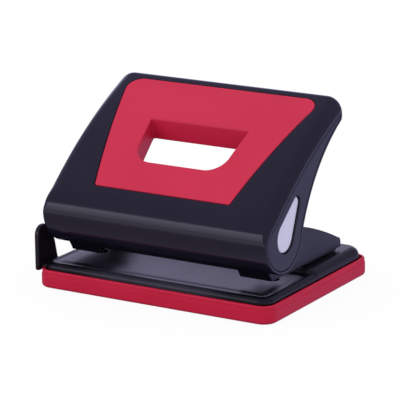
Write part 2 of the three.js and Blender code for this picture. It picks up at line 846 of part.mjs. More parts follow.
// An outline in (x, distance along the face) turned into a cutter square to the face
function squareCutter(outline) {
  return loft([outline, outline], ([x, along], i) => {
    const [y, z] = onFace(along, i === 0 ? faceWall * 2 : -faceWall);
    return new THREE.Vector3(x, y, z);
  });
}

// The same along the steeper line by which the slot is drawn from its mould
function drawnCutter(outline) {
  return loft([outline, outline], ([x, along], i) => {
    const [y, z] = onFace(along, 0);
    const reach = i === 0 ? collarDepth * 2 : -faceWall;
    return new THREE.Vector3(x, y + reach * Math.sin(drawLean), z - reach * Math.cos(drawLean));
  });
}

// Long sides of an outline on the face are stepped so that they follow its curve
function stepped(outline) {
  return outline.flatMap((point, i) => {
    const next = outline[(i + 1) % outline.length];
    const count = Math.max(1, Math.ceil(Math.abs(next[1] - point[1]) / (faceLength / faceSteps)));
    const points = [];
    for (let k = 0; k < count; k += 1) {
      points.push([
        THREE.MathUtils.lerp(point[0], next[0], k / count),
        THREE.MathUtils.lerp(point[1], next[1], k / count),
      ]);
    }
    return points;
  });
}

function panelOutline(grow) {
  return stepped(roundedOutline([
    [-panelFrontHalf - grow, panelStart - grow, panelFrontRadius],
    [panelFrontHalf + grow, panelStart - grow, panelFrontRadius],
    [panelRearHalf + grow, panelEnd + grow, panelRearRadius + grow],
    [-panelRearHalf - grow, panelEnd + grow, panelRearRadius + grow],
  ]));
}

function slotOutline(grow) {
  return stepped(roundedOutline([
    [-slotFrontHalf - grow, slotStart - grow, slotFrontRadius + grow],
    [slotFrontHalf + grow, slotStart - grow, slotFrontRadius + grow],
    [slotRearHalf + grow, slotEnd + grow, slotRearRadius + grow],
    [-slotRearHalf - grow, slotEnd + grow, slotRearRadius + grow],
  ]));
}

// Screws that hold the press lever to the handle, square to the lever

const leverNormal = [-Math.sin(leverSlope), Math.cos(leverSlope)];
const leverAlong = [Math.cos(leverSlope), Math.sin(leverSlope)];

function onLever(distance, along) {
  return [
    leverNormal[0] * distance + leverAlong[0] * along,
    leverNormal[1] * distance + leverAlong[1] * along,
  ];
}

const screwSeat = onLever(leverDistance, screwAlongLever);
const screwHoleLength = leverSheet + fitGap * 2 + screwBite + fitGap;

// Turns a body about Z into one that points along the lever's normal at a place under it
function alongScrew(mesh, side) {
  mesh.position.set(side * screwX, screwSeat[0], screwSeat[1]);
  mesh.rotation.set(leverSlope, 0, 0);
}

function screwCutter(side, fromDistance, toDistance) {
  const length = toDistance - fromDistance;
  const cylinder = new THREE.CylinderGeometry(
    screwShankRadius + fitGap,
    screwShankRadius + fitGap,
    length,
    holeSides,
  );
  const middle = onLever(fromDistance + length / 2, screwAlongLever);
  cylinder.rotateX(Math.PI / 2).rotateX(leverSlope).translate(side * screwX, middle[0], middle[1]);
  return solid(cylinder);
}

// The screw's z runs from its head up into the handle; its head sits under the lever
function leverScrew() {
  return turned([
    [0, -fitGap - screwHeadHeight],
    [screwHeadRadius, -fitGap - screwHeadHeight / 2],
    [screwHeadRadius, -fitGap],
    [screwShankRadius, -fitGap],
    [screwShankRadius, screwHoleLength - fitGap - screwShankRadius],
    [0, screwHoleLength - fitGap],
  ]);
}

// Side caps and pivot covers

// Which points of the side outline are on the handle's open back
const backFrom = noseSteps - 1;
const backTo = backFrom + backSteps;

function capOutline(gap) {
  const rimOf = (i) => (i >= backFrom && i <= backTo ? capBackRim : capFrontRim);
  return insetOutline(sideOutline, profile.map((point, i) => rimOf(i) + gap));
}

// A round end about the pivot and a smaller round tip, joined by straight flanks
function coverOutline(grow) {
  const lean = Math.acos((coverRadius - coverTipRadius) / coverReach);
  const tip = [coverReach * Math.cos(coverSlope), coverReach * Math.sin(coverSlope)];
  const roundFrom = coverSlope + lean;
  const roundTo = coverSlope + 2 * Math.PI - lean;
  const round = arcPoints([0, 0], coverRadius + grow, roundFrom, roundTo, noseSteps);
  const small = arcPoints(tip, coverTipRadius + grow, coverSlope - lean, coverSlope + lean, cornerSteps * 2);
  return [...round, ...small];
}

function sidePlate(outline, side, fromX, toX) {
  const [low, high] = [side * fromX, side * toX].sort((a, b) => a - b);
  return across(outline, low, high);
}

function handleShell() {
  const panelSeat = faceSlab(-faceWall / 2, panelThickness + fitGap);
  const cuts = [
    handleHollow(),
    squareCutter(panelOutline(fitGap)).intersect(panelSeat),
    drawnCutter(slotOutline(collarWall + fitGap)),
    crossCylinder(rodRadius + fitGap, 0, 0, -capSeatX - overrun, capSeatX + overrun),
  ];
  for (const [side] of sides) {
    cuts.push(sidePlate(capOutline(0), side, capSeatX, handleHalfX + overrun));
    cuts.push(screwCutter(side, leverDistance, leverDistance + screwHoleLength));
  }
  return cuts.reduce((shell, cut) => shell.subtract(cut), handleSkin());
}

function gripPanel() {
  const underFace = faceSlab(-faceWall / 2, panelThickness).intersect(handleSkin());
  const skin = squareCutter(panelOutline(0)).intersect(underFace);
  const collarDepths = faceSlab(panelThickness / 2, collarDepth);
  const collar = drawnCutter(slotOutline(collarWall)).intersect(collarDepths);
  return skin.add(collar).subtract(drawnCutter(slotOutline(0)));
}

function sideCap(side) {
  const cap = sidePlate(capOutline(fitGap), side, capSeatX + fitGap, handleHalfX);
  const recessX = handleHalfX - coverThickness + coverProud - ringGap;
  return cap.subtract(sidePlate(coverOutline(ringGap), side, recessX, handleHalfX + overrun));
}

function pivotCover(side) {
  const outerX = handleHalfX + coverProud;
  return sidePlate(coverOutline(0), side, outerX - coverThickness, outerX);
}

// Press lever: two arms on the pivot, a plate under the handle's face and a roller over each pin

function leverArm(side) {
  const roller = [pinArm, rollerRise];
  const outline = [
    ...arcPoints([0, 0], armRadius, Math.PI, 3 * Math.PI / 2, cornerSteps),
    ...arcPoints(roller, rollerRadius, -Math.PI / 2, 0, cornerSteps),
    onLever(leverDistance, leverBehind),
    onLever(leverDistance + leverSheet, leverBehind),
    onLever(leverDistance + leverSheet, -leverAhead),
  ];
  return sidePlate(outline, side, armInnerX, armOuterX);
}

function pressLever() {
  const plate = across([
    onLever(leverDistance, -leverAhead),
    onLever(leverDistance, leverBehind),
    onLever(leverDistance + leverSheet, leverBehind),
    onLever(leverDistance + leverSheet, -leverAhead),
  ], -armOuterX, armOuterX);
  const pieces = [plate];
  const holes = [crossCylinder(rodRadius + fitGap, 0, 0, -armOuterX - overrun, armOuterX + overrun)];
  for (const [side] of sides) {
    pieces.push(leverArm(side));
    const [from, to] = [side * (armInnerX - rollerLength), side * armOuterX].sort((a, b) => a - b);
    pieces.push(crossCylinder(rollerRadius, pinArm, rollerRise, from, to));
    holes.push(screwCutter(side, leverDistance - overrun, leverDistance + screwHoleLength));
  }
  return holes.reduce((body, hole) => body.subtract(hole), joined(pieces));
}

// Paper guide: a flat ruler under the deck with an upright end that the paper's edge meets

function paperGuide() {
  const plateInner = -trayHalfX - guideEndGap;
  const plateOuter = plateInner - guideEndThickness;
  const footLevel = guideZ - guideEndDrop;
  const rearY = guideEndFrontY + guideEndDepth;
  const endPlate = across(roundedOutline([
    [guideEndFrontY, footLevel, guideEndTopRadius / 2],
    [rearY, footLevel, guideEndTopRadius / 2],
    [guideEndFrontY + guideEndWaistDepth, footLevel + guideEndWaistRise, guideEndTopRadius * 2],
    [guideEndFrontY + guideEndTopDepth, footLevel + guideEndHeight, guideEndTopRadius],
    [guideEndFrontY, footLevel + guideEndHeight, guideEndFrontRadius],
  ]), plateOuter, plateInner);
  const ruler = block(
    plateOuter + guideEndThickness / 2,
    plateInner + guideLength,
    guideFrontY,
    guideFrontY + guideWidth,
    guideZ,
    guideZ + guideThickness,
  );
  let guide = endPlate.add(ruler);
  for (let i = 1; i <= guideNotchCount; i += 1) {
    const x = plateInner + guideNotchPitch * i;
    const notch = block(
      x - guideNotchSize / 2,
      x + guideNotchSize / 2,
      guideFrontY - overrun,
      guideFrontY + guideNotchSize,
      guideZ - overrun,
      guideZ + guideThickness + overrun,
    );
    guide = guide.subtract(notch);
  }
  return guide;
}

// Assembly

const punch = new THREE.Group();
const lifting = new THREE.Group();
const handle = new THREE.Group();
punch.add(lifting);
lifting.add(handle);
handle.position.set(0, pivotY, pivotZ);

place(punch, 'chip_tray', chipTray(), finishes.redPlastic);
place(lifting, 'base_plate', basePlate(), finishes.blackSteel);
place(lifting, 'punch_bracket', punchBracket(), finishes.blackSteel);
for (const [x, y, name] of rivetPlaces) {
  place(lifting, name, rivet(), finishes.zincSteel).position.set(x, y, footZ + sheet);
}
place(lifting, 'paper_guide', paperGuide(), finishes.blackPlastic);

const rodHalf = capSeatX - rodEndGap;
place(lifting, 'pivot_rod', crossCylinder(rodRadius, pivotY, pivotZ, -rodHalf, rodHalf), finishes.zincSteel);
place(handle, 'handle_shell', handleShell(), finishes.blackPlastic);
place(handle, 'grip_panel', gripPanel(), finishes.redPlastic);
place(handle, 'press_lever', pressLever(), finishes.zincSteel);

for (const [side, name] of sides) {
  place(lifting, `punch_pin_${name}`, punchPin(), finishes.zincSteel)
    .position.set(side * pinX, pinY, pinTipZ);
  place(lifting, `pin_clip_${name}`, pinClip(), finishes.springSteel)
    .position.set(side * pinX, pinY, clipZ);
  place(lifting, `return_spring_${name}`, returnSpring(), finishes.springSteel)
    .position.set(side * pinX, pinY, springFootZ);
  place(handle, `side_cap_${name}`, sideCap(side), finishes.blackPlastic);
  place(handle, `pivot_cover_${name}`, pivotCover(side), finishes.palePlastic);
  alongScrew(place(handle, `lever_screw_${name}`, leverScrew(), finishes.zincSteel), side);
}

console.log(`least gap of a return spring to itself: ${springSelfGap().toFixed(2)} mm`);

export default punch;
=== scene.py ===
"""Dresses a desk two-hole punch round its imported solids, for a studio picture.

Lengths in the classes are millimetres in the solids' own frame: paper goes in from -Y, the
pressing end of the handle is at +Y and +Z is up. The meshes themselves are in metres.
"""

import logging
import math
from collections.abc import Callable, Iterator, Sequence
from contextlib import contextmanager
from dataclasses import dataclass, field
from enum import Enum
from functools import cache, cached_property

import bmesh
import bpy
from mathutils import Matrix, Vector


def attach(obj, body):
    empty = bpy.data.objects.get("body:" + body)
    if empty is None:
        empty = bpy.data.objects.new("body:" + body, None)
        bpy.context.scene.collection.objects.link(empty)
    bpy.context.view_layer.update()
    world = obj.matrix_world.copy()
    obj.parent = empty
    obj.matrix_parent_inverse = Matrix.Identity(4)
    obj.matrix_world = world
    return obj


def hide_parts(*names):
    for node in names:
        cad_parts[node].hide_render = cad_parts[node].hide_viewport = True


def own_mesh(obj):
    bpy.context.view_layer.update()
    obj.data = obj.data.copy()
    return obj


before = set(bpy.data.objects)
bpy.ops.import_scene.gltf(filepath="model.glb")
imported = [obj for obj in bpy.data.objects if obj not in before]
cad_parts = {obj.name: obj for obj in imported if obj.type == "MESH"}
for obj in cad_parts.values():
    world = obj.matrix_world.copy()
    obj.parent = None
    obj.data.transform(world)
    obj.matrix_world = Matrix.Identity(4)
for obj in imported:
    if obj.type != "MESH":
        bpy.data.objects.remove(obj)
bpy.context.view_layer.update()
LOG = logging.getLogger("punch")
MM = 0.001
SIDES = ((-1, "left"), (1, "right"))
MERGE = 1e-6

# Places that several sub-assemblies share
PIVOT = (0.0, -24.1, 30.9)
PINS = (40.0, -15.0)
RIVET_X = 36.0
RIVET_ROWS = {"front": 6.0, "rear": 22.0}

Flat = tuple[float, float]
Corner = Colour = Place = tuple[float, float, float]  # (u, v, radius), light or (x, y, z)
Ring = list[Vector]
Piece = bpy.types.Object


class Slot(Enum):
    """Material slots of the record."""

    RED = "red_plastic"
    BLACK = "black_plastic"
    ENAMEL = "black_steel"
    ZINC = "zinc_steel"
    SPRING = "spring_steel"
    PALE = "pale_plastic"


class Body(Enum):
    """Bodies that the pieces ride on."""

    TRAY = "tray"
    PUNCH = "punch"
    HANDLE = "handle"
    PIN_LEFT = "pin_left"
    PIN_RIGHT = "pin_right"
    GUIDE = "guide"


class Cut(Enum):
    """What a second body does to the first."""

    AWAY = "DIFFERENCE"
    ADD = "UNION"


# Plane geometry


def lerp(start: float, end: float, share: float) -> float:
    """Value at a share of the way from start to end."""
    return start + (end - start) * share


def eased_share(value: float, low: float, high: float) -> float:
    """Share of the way from low to high, slow at both ends."""
    share = min(max((value - low) / (high - low), 0.0), 1.0)
    return share * share * (3 - 2 * share)


def midway(start: Flat, end: Flat, share: float) -> Flat:
    """The point at a share of the way from start to end."""
    return lerp(start[0], end[0], share), lerp(start[1], end[1], share)


def blended(first: Sequence[Flat], second: Sequence[Flat], share: float) -> list[Flat]:
    """The outline at a share of the way from one to another whose points pair up with it."""
    return [midway(a, b, share) for a, b in zip(first, second)]


def curved(start: float | Vector, pull: float | Vector, end: float | Vector, share: float):
    """The place at a share of a curve from start to end that bends towards pull."""
    return start * (1 - share) ** 2 + pull * 2 * share * (1 - share) + end * share * share


def polar(radius: float, angle: float) -> Flat:
    """The point at a radius and an angle about the origin."""
    return radius * math.cos(angle), radius * math.sin(angle)


def arc(centre: Flat, radius: float, start: float, end: float, steps: int) -> list[Flat]:
    """The steps + 1 points of an arc about a centre, between two angles in radians."""
    points = [polar(radius, lerp(start, end, k / steps)) for k in range(steps + 1)]
    return [(centre[0] + u, centre[1] + v) for u, v in points]


def fillet(before: Flat, corner: Corner, after: Flat, steps: int) -> list[Flat]:
    """The points that round a corner, given with its radius, between its two neighbours."""
    at, radius = Vector(corner[:2]), corner[2]
    if radius <= 0:
        return [corner[:2]]
    back = (Vector(before) - at).normalized()
    on = (Vector(after) - at).normalized()
    half = back.angle(on) / 2
    centre = at + (back + on).normalized() * (radius / math.sin(half))
    first = at + back * (radius / math.tan(half)) - centre
    sweep = math.copysign(math.pi - 2 * half, on.x * back.y - on.y * back.x)
    start = math.atan2(first.y, first.x)
    return arc((centre.x, centre.y), radius, start, start + sweep, steps)


def closed_outline(corners: Sequence[Corner], steps: int = 10, between: int = 0) -> list[Flat]:
    """Closed outline with rounded corners and points along its straight sides.

    Args:
        corners: Corners as (u, v, radius).
        steps: Chords in each round.
        between: Points put in each straight side.

    Returns:
        The outline's points.
    """
    count = len(corners)
    rounds = [
        fillet(corners[k - 1][:2], corners[k], corners[(k + 1) % count][:2], steps)
        for k in range(count)
    ]
    points: list[Flat] = []
    for k, ends in enumerate(rounds):
        after = rounds[(k + 1) % count][0]
        points += ends
        points += [midway(ends[-1], after, j / (between + 1)) for j in range(1, between + 1)]
    return points


def open_line(corners: Sequence[Corner], steps: int = 4) -> list[Flat]:
    """A line from the first corner to the last with the corners between them rounded."""
    points: list[Flat] = [corners[0][:2]]
    for before, at, after in zip(corners, corners[1:], corners[2:]):
        points += fillet(before[:2], at, after[:2], steps)
    return points + [corners[-1][:2]]


def bulged(start: Flat, end: Flat, bulge: float, steps: int) -> list[Flat]:
    """Points of the arc from start to end that stands off its chord, to the left, by bulge."""
    chord = Vector(end) - Vector(start)
    left = Vector((-chord.y, chord.x)).normalized()
    radius = (chord.length_squared / 4 + bulge * bulge) / (2 * bulge)
    half = math.asin(chord.length / 2 / radius)
    points: list[Flat] = []
    for k in range(steps + 1):
        angle = lerp(-half, half, k / steps)
        off = radius * math.cos(angle) - (radius - bulge)
        point = Vector(start) + chord * ((math.sin(angle) / math.sin(half) + 1) / 2) + left * off
        points.append((point.x, point.y))
    return points


def moved_in(points: Sequence[Flat], distances: Sequence[float]) -> list[Flat]:
    """A closed outline with each point moved inwards by its own distance."""
    count = len(points)
    result: list[Flat] = []
    for k, (u, v) in enumerate(points):
        before, after = points[k - 1], points[(k + 1) % count]
        along = (Vector(after) - Vector(before)).normalized()
        result.append((u - along.y * distances[k], v + along.x * distances[k]))
    return result


def edge_round(radius: float, inset: float = 0, top: float = 0, way: int = 1) -> list[Flat]:
    """A rounded edge from its side to its top, as (inset, height); way is its sense inwards."""
    steps = 4
    points = [polar(radius, math.pi / 2 * k / steps) for k in range(steps + 1)]
    return [(inset + way * (radius - u), top - (radius - v)) for u, v in points]


def fallen(radius: float, along: float) -> float:
    """How far a circle has fallen from its tangent, a given way along that tangent."""
    return radius - math.sqrt(max(radius * radius - along * along, 0))


# Work on the bench: each function is one thing done by hand


def hold(piece: Piece) -> None:
    """Leaves object mode and selects this piece alone."""
    if bpy.context.object and bpy.context.object.mode != "OBJECT":
        bpy.ops.object.mode_set(mode="OBJECT")
    bpy.ops.object.select_all(action="DESELECT")
    piece.select_set(True)
    bpy.context.view_layer.objects.active = piece


@contextmanager
def editing(piece: Piece) -> Iterator[None]:
    """Edits a piece with nothing in it selected at first."""
    hold(piece)
    bpy.ops.object.mode_set(mode="EDIT")
    bpy.ops.mesh.select_all(action="DESELECT")
    yield
    bpy.ops.object.mode_set(mode="OBJECT")


def named(name: str) -> Piece:
    """Gives the piece just added, and its mesh, their name."""
    piece = bpy.context.object
    piece.name = piece.data.name = name
    return piece


def drawn(name: str, rings: Sequence[Ring], closed: bool = False) -> Piece:
    """Extrudes the edge of a circle from ring to ring, and caps its ends or joins them.

    Args:
        name: The new piece's name.
        rings: Rings of equal count, in millimetres.
        closed: Whether the last ring joins the first, with no caps.

    Returns:
        The new piece, with its faces outwards.
    """
    count = len(rings[0])
    bpy.ops.object.select_all(action="DESELECT")
    bpy.ops.mesh.primitive_circle_add(vertices=count, radius=MM, fill_type="NOTHING")
    piece = named(name)
    bpy.ops.object.mode_set(mode="EDIT")
    stations = list(rings) + ([rings[0]] if closed else [])
    for index, ring in enumerate(stations):
        if index:
            bpy.ops.mesh.extrude_edges_indiv()
        mesh = bmesh.from_edit_mesh(piece.data)
        edge = [vert for vert in mesh.verts if vert.select]
        for vert, place in zip(edge, ring):
            vert.co = place * MM
        bmesh.update_edit_mesh(piece.data)
    if closed:
        bpy.ops.mesh.select_all(action="SELECT")
        bpy.ops.mesh.remove_doubles(threshold=MERGE / 10)
    else:
        bpy.ops.mesh.edge_face_add()
        bpy.ops.mesh.select_all(action="DESELECT")
        mesh = bmesh.from_edit_mesh(piece.data)
        mesh.verts.ensure_lookup_table()
        for vert in mesh.verts[:count]:
            vert.select_set(True)
        mesh.select_flush(True)
        bmesh.update_edit_mesh(piece.data)
        bpy.ops.mesh.edge_face_add()
    bpy.ops.mesh.select_all(action="SELECT")
    bpy.ops.mesh.normals_make_consistent(inside=False)
    bpy.ops.object.mode_set(mode="OBJECT")
    return piece


def across(
    name: str, outline: Sequence[Flat], from_x: float, to_x: float, edge: float = 0
) -> Piece:
    """A plate whose side outline in (y, z) is drawn along X.

    Args:
        name: The new piece's name.
        outline: Its outline, anticlockwise as seen from +X.
        from_x: Where it starts.
        to_x: Where it ends.
        edge: Radius of its two long edges.

    Returns:
        The new piece.
    """
    stations: list[Flat] = [(0.0, from_x), (0.0, to_x)]
    if edge:
        sense = math.copysign(1, to_x - from_x)
        rounds = edge_round(edge)
        stations = [(inset, from_x - sense * height) for inset, height in reversed(rounds)]
        stations += [(inset, to_x + sense * height) for inset, height in rounds]
    rings = []
    for inset, x in stations:
        points = moved_in(outline, [inset] * len(outline)) if inset else outline
        rings.append([Vector((x, y, z)) for y, z in points])
    return drawn(name, rings)


def lathed(
    name: str,
    profile: Sequence[Flat],
    origin: Vector,
    axis: Vector = Vector((0, 0, 1)),
    sides: int = 48,
    closed: bool = False,
) -> Piece:
    """A turned piece.

    Args:
        name: The new piece's name.
        profile: (radius, height) points along it.
        origin: Where height is zero, in millimetres.
        axis: Which way height goes.
        sides: Number of flats round it.
        closed: Whether the profile joins up, as on a washer.

    Returns:
        The new piece.
    """
    turn = axis.to_track_quat("Z", "Y").to_matrix()
    angles = [math.tau * k / sides for k in range(sides)]
    rings = [[origin + turn @ Vector((*polar(r, a), h)) for a in angles] for r, h in profile]
    return drawn(name, rings, closed)


def slab(name: str, low: Sequence[float], high: Sequence[float], edge: float = 0) -> Piece:
    """A block between two corners, with its edges bevelled if edge is given."""
    size = [(b - a) * MM for a, b in zip(low, high)]
    middle = [(a + b) / 2 * MM for a, b in zip(low, high)]
    bpy.ops.object.select_all(action="DESELECT")
    bpy.ops.mesh.primitive_cube_add(size=1, location=middle)
    piece = named(name)
    piece.scale = size
    bpy.ops.object.transform_apply(location=True, rotation=True, scale=True)
    if edge:
        with editing(piece):
            bpy.ops.mesh.select_all(action="SELECT")
            bpy.ops.mesh.bevel(offset=edge * MM, segments=3, affect="EDGES")
    return piece


def applied(piece: Piece, kind: str, **settings: object) -> Piece:
    """Puts a modifier on a piece and applies it."""
    hold(piece)
    modifier = piece.modifiers.new(kind.lower(), kind)
    for key, value in settings.items():
        setattr(modifier, key, value)
    bpy.ops.object.modifier_apply(modifier=modifier.name)
    return piece


def cut(piece: Piece, tool: Piece, how: Cut = Cut.AWAY) -> Piece:
    """Cuts a tool's body from a piece, or adds it, and drops the tool."""
    applied(piece, "BOOLEAN", operation=how.value, solver="EXACT", object=tool)
    bpy.data.objects.remove(tool)
    return piece


def put_in(name: str, data: bpy.types.ID) -> Piece:
    """Puts a mesh, a lamp or a camera into the scene."""
    piece = bpy.data.objects.new(name, data)
    bpy.context.scene.collection.objects.link(piece)
    return piece


def refined(node: str, name: str) -> Piece:
    """A copy of a solid's mesh, merged, with its flat faces made whole."""
    piece = put_in(name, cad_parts[node].data.copy())
    with editing(piece):
        bpy.ops.mesh.select_all(action="SELECT")
        bpy.ops.mesh.remove_doubles(threshold=MERGE)
        bpy.ops.mesh.dissolve_limited(angle_limit=math.radians(0.4))
    return piece


def bevelled_where(
    piece: Piece,
    wanted: Callable[[bmesh.types.BMEdge], bool],
    width: float,
    segments: int = 4,
) -> Piece:
    """Bevels the edges that a test picks.

    Args:
        piece: The piece to work on.
        wanted: Test of one edge.
        width: Width of the bevel, in millimetres.
        segments: Number of flats in it.

    Returns:
        The same piece.
    """
    with editing(piece):
        mesh = bmesh.from_edit_mesh(piece.data)
        for edge in mesh.edges:
            if len(edge.link_faces) == 2 and wanted(edge):
                edge.select_set(True)
        bmesh.update_edit_mesh(piece.data)
        bpy.ops.mesh.bevel(offset=width * MM, segments=segments, affect="EDGES")
    return piece


def softened(piece: Piece, width: float, segments: int = 2, angle: float = 40) -> Piece:
    """Breaks every sharp edge of a piece by a small round."""
    limit = {"limit_method": "ANGLE", "angle_limit": math.radians(angle)}
    return applied(piece, "BEVEL", width=width * MM, segments=segments, **limit)


def smoothed(piece: Piece, angle: float) -> Piece:
    """Shades a piece smooth up to an angle, with its large faces keeping their own slope."""
    hold(piece)
    bpy.ops.object.shade_smooth_by_angle(angle=math.radians(angle))
    return applied(piece, "WEIGHTED_NORMAL", keep_sharp=True)


# Finishes


class Signal:
    """A number that changes over a surface; sums of signals add Math nodes."""

    def __init__(self, shader: "Shader", socket: bpy.types.NodeSocket) -> None:
        """Wraps an output socket of a shader's node."""
        self.shader = shader
        self.socket = socket

    def math(self, operation: str, *terms: "Signal | float") -> "Signal":
        """Adds one Math node that works on the given terms."""
        return self.shader.node("ShaderNodeMath", {"operation": operation}, dict(enumerate(terms)))

    def __add__(self, other: "Signal | float") -> "Signal":
        """Sum."""
        return self.math("ADD", self, other)

    __radd__ = __add__

    def __sub__(self, other: "Signal | float") -> "Signal":
        """Difference."""
        return self.math("SUBTRACT", self, other)

    def __rsub__(self, other: float) -> "Signal":
        """Difference from a number on the left."""
        return self.math("SUBTRACT", other, self)

    def __mul__(self, other: "Signal | float") -> "Signal":
        """Product."""
        return self.math("MULTIPLY", self, other)

    __rmul__ = __mul__

    def above(self, level: float, softness: float) -> "Signal":
        """Nought below a level and one above it, with a soft step."""
        inputs = {0: self, 1: level - softness, 2: level + softness, 3: 0.0, 4: 1.0}
        settings = {"interpolation_type": "SMOOTHSTEP"}
        return self.shader.node("ShaderNodeMapRange", settings, inputs)


class Shader:
    """The node tree of a finish, of the floor or of the sky."""

    def __init__(self, owner: bpy.types.Material | bpy.types.World) -> None:
        """Opens the node tree of a new material or world."""
        owner.use_nodes = True
        self.owner = owner
        self.tree = owner.node_tree

    @cached_property
    def place(self) -> Signal:
        """Object coordinates."""
        return self.node("ShaderNodeTexCoord", output="Object")

    def node(
        self,
        kind: str,
        settings: dict[str, object] | None = None,
        inputs: dict[int | str, object] | None = None,
        output: int | str = 0,
    ) -> Signal:
        """Adds a node.

        Args:
            kind: Its type.
            settings: Its own settings, set first.
            inputs: Values or signals of its sockets.
            output: The socket that is wanted of it.

        Returns:
            That output as a signal.
        """
        node = self.tree.nodes.new(kind)
        for key, value in (settings or {}).items():
            setattr(node, key, value)
        for key, value in (inputs or {}).items():
            self.feed(node.inputs[key], value)
        return Signal(self, node.outputs[output])

    def feed(self, socket: bpy.types.NodeSocket, value: object) -> None:
        """Links a signal to a socket, or sets a plain value on it."""
        if isinstance(value, Signal):
            self.tree.links.new(value.socket, socket)
        else:
            socket.default_value = value

    def fill(self, node: str, values: dict[str, object]) -> None:
        """Feeds the sockets of a node that the tree began with."""
        for key, value in values.items():
            self.feed(self.tree.nodes[node].inputs[key], value)

    def stretched(self, scale: Place) -> Signal:
        """Object coordinates scaled by its own number along each axis."""
        return self.node("ShaderNodeMapping", inputs={"Vector": self.place, "Scale": scale})

    def noise(self, size: float, detail: float = 2, place: Signal | None = None) -> Signal:
        """Noise whose lumps are about size millimetres across."""
        inputs = {"Vector": place or self.place, "Scale": 1 / (size * MM), "Detail": detail}
        return self.node("ShaderNodeTexNoise", inputs=inputs)

    def along(self, way: Place) -> Signal:
        """How far a place lies along a way, in metres."""
        inputs = {0: self.place, 1: way}
        return self.node("ShaderNodeVectorMath", {"operation": "DOT_PRODUCT"}, inputs, "Value")

    def ray(self, kind: str) -> Signal:
        """One for rays of a kind, such as Camera or Glossy, and nought for all others."""
        return self.node("ShaderNodeLightPath", output=f"Is {kind} Ray")

    def tone(self, share: Signal, first: Signal | Colour, second: Colour) -> Signal:
        """Colour between two colours."""
        start = first if isinstance(first, Signal) else (*first, 1)
        inputs = {0: share, 6: start, 7: (*second, 1)}
        return self.node("ShaderNodeMix", {"data_type": "RGBA"}, inputs, 2)

    def relief(self, height: Signal, depth: float, strength: float) -> Signal:
        """Small relief of a depth in millimetres."""
        inputs = {"Height": height, "Distance": depth * MM, "Strength": strength}
        return self.node("ShaderNodeBump", inputs=inputs)


def linear(screen: Colour) -> Colour:
    """A screen colour as light."""
    shares = [c / 255 for c in screen]
    light = [s / 12.92 if s <= 0.04045 else ((s + 0.055) / 1.055) ** 2.4 for s in shares]
    return light[0], light[1], light[2]


@dataclass(frozen=True)
class Finish:
    """A finish that wavers between two screen colours, for one slot of the record."""

    name: str
    slot: Slot
    colour: Colour
    second: Colour
    roughness: float

    def tone(self, shader: Shader, share: Signal) -> Signal:
        """The colour at a share of the way from the first colour to the second."""
        return shader.tone(share, linear(self.colour), linear(self.second))

    def sockets(self, shader: Shader) -> dict[str, object]:
        """What the surface is fed with; each kind of finish has its own."""
        raise NotImplementedError

    def material(self) -> bpy.types.Material:
        """Builds the finish's material."""
        shader = Shader(bpy.data.materials.new(self.name))
        shader.fill("Principled BSDF", self.sockets(shader))
        return shader.owner


@dataclass(frozen=True)
class Moulded(Finish):
    """Plastic from a spark-textured mould.

    The colour clouds a little, the texture is a fine relief, and hands polish it in patches.
    """

    grain: float
    relief: float
    specular: float

    def sockets(self, shader: Shader) -> dict[str, object]:
        """What the surface is fed with."""
        cloud = shader.noise(26, 3)
        speck = shader.noise(self.grain * 2.2)
        grain = shader.noise(self.grain)
        handled = shader.noise(15, 4).above(0.56, 0.12)
        scuff = shader.noise(0.6, 3, shader.stretched((0.16, 1, 1))).above(0.7, 0.06)
        return {
            "Base Color": self.tone(shader, (cloud * 0.8 + speck * 0.2).above(0.5, 0.22)),
            "Roughness": self.roughness + (grain - 0.5) * 0.06 - handled * 0.03 + scuff * 0.01,
            "Specular IOR Level": self.specular,
            "Normal": shader.relief(grain * 0.7 + speck * 0.3, self.relief, 0.5),
        }


@dataclass(frozen=True)
class Enamel(Finish):
    """Stoved enamel on pressed steel, a little wavy and rubbed, greyest where paper slides in;
    that grey is partly rubbing and partly a painted sheen on the front deck.
    """

    # Grey of the patch where paper slides in: partly rubbing, partly a painted sheen that stands
    # for the deck's reflection.
    paper: Colour | None = None
    paper_half: float = 27.0
    paper_rear: float = -8.0
    paper_fade: Flat = (11.0, 6.0)

    def sockets(self, shader: Shader) -> dict[str, object]:
        """What the surface is fed with."""
        wave, cloud, pore = shader.noise(4.5, 1), shader.noise(18, 3), shader.noise(0.5, 1)
        streak = shader.noise(0.8, 3, shader.stretched((1, 0.05, 0.4)))
        rub = streak.above(0.64, 0.08) * cloud.above(0.5, 0.15)
        colour = self.tone(shader, rub * 0.5)
        # Painted sheen and rubbing: the front middle of the deck is greyed towards the paper
        # colour.
        if self.paper:
            x, y = shader.along((1, 0, 0)), shader.along((0, 1, 0))
            aside = x.math("ABSOLUTE", x).above(self.paper_half * MM, self.paper_fade[0] * MM)
            behind = y.above(self.paper_rear * MM, self.paper_fade[1] * MM)
            rubbed_and_sheen = (1.0 - aside) * (1.0 - behind) * (0.8 + (cloud - 0.5) * 0.8)
            colour = shader.tone(rubbed_and_sheen, colour, linear(self.paper))
        return {
            "Base Color": colour,
            "Roughness": self.roughness + rub * 0.09 + (cloud - 0.5) * 0.06 + (pore - 0.5) * 0.04,
            "Normal": shader.relief(wave * 0.9 + pore * 0.1, 0.02, 0.05),
        }


@dataclass(frozen=True)
class Metal(Finish):
    """Bare or plated steel with fine drawing lines and cloudy patches."""

    lines: Place = (1, 1, 0.06)

    def sockets(self, shader: Shader) -> dict[str, object]:
        """What the surface is fed with."""
        dull = shader.noise(2.6, 3).above(0.55, 0.14)
        line = shader.noise(0.22, 2, shader.stretched(self.lines))
        return {
            "Base Color": self.tone(shader, dull),
            "Metallic": 1.0 - dull * 0.12,
            "Roughness": self.roughness + dull * 0.12 + (line - 0.5) * 0.16,
            "Normal": shader.relief(line, 0.01, 0.3),
        }


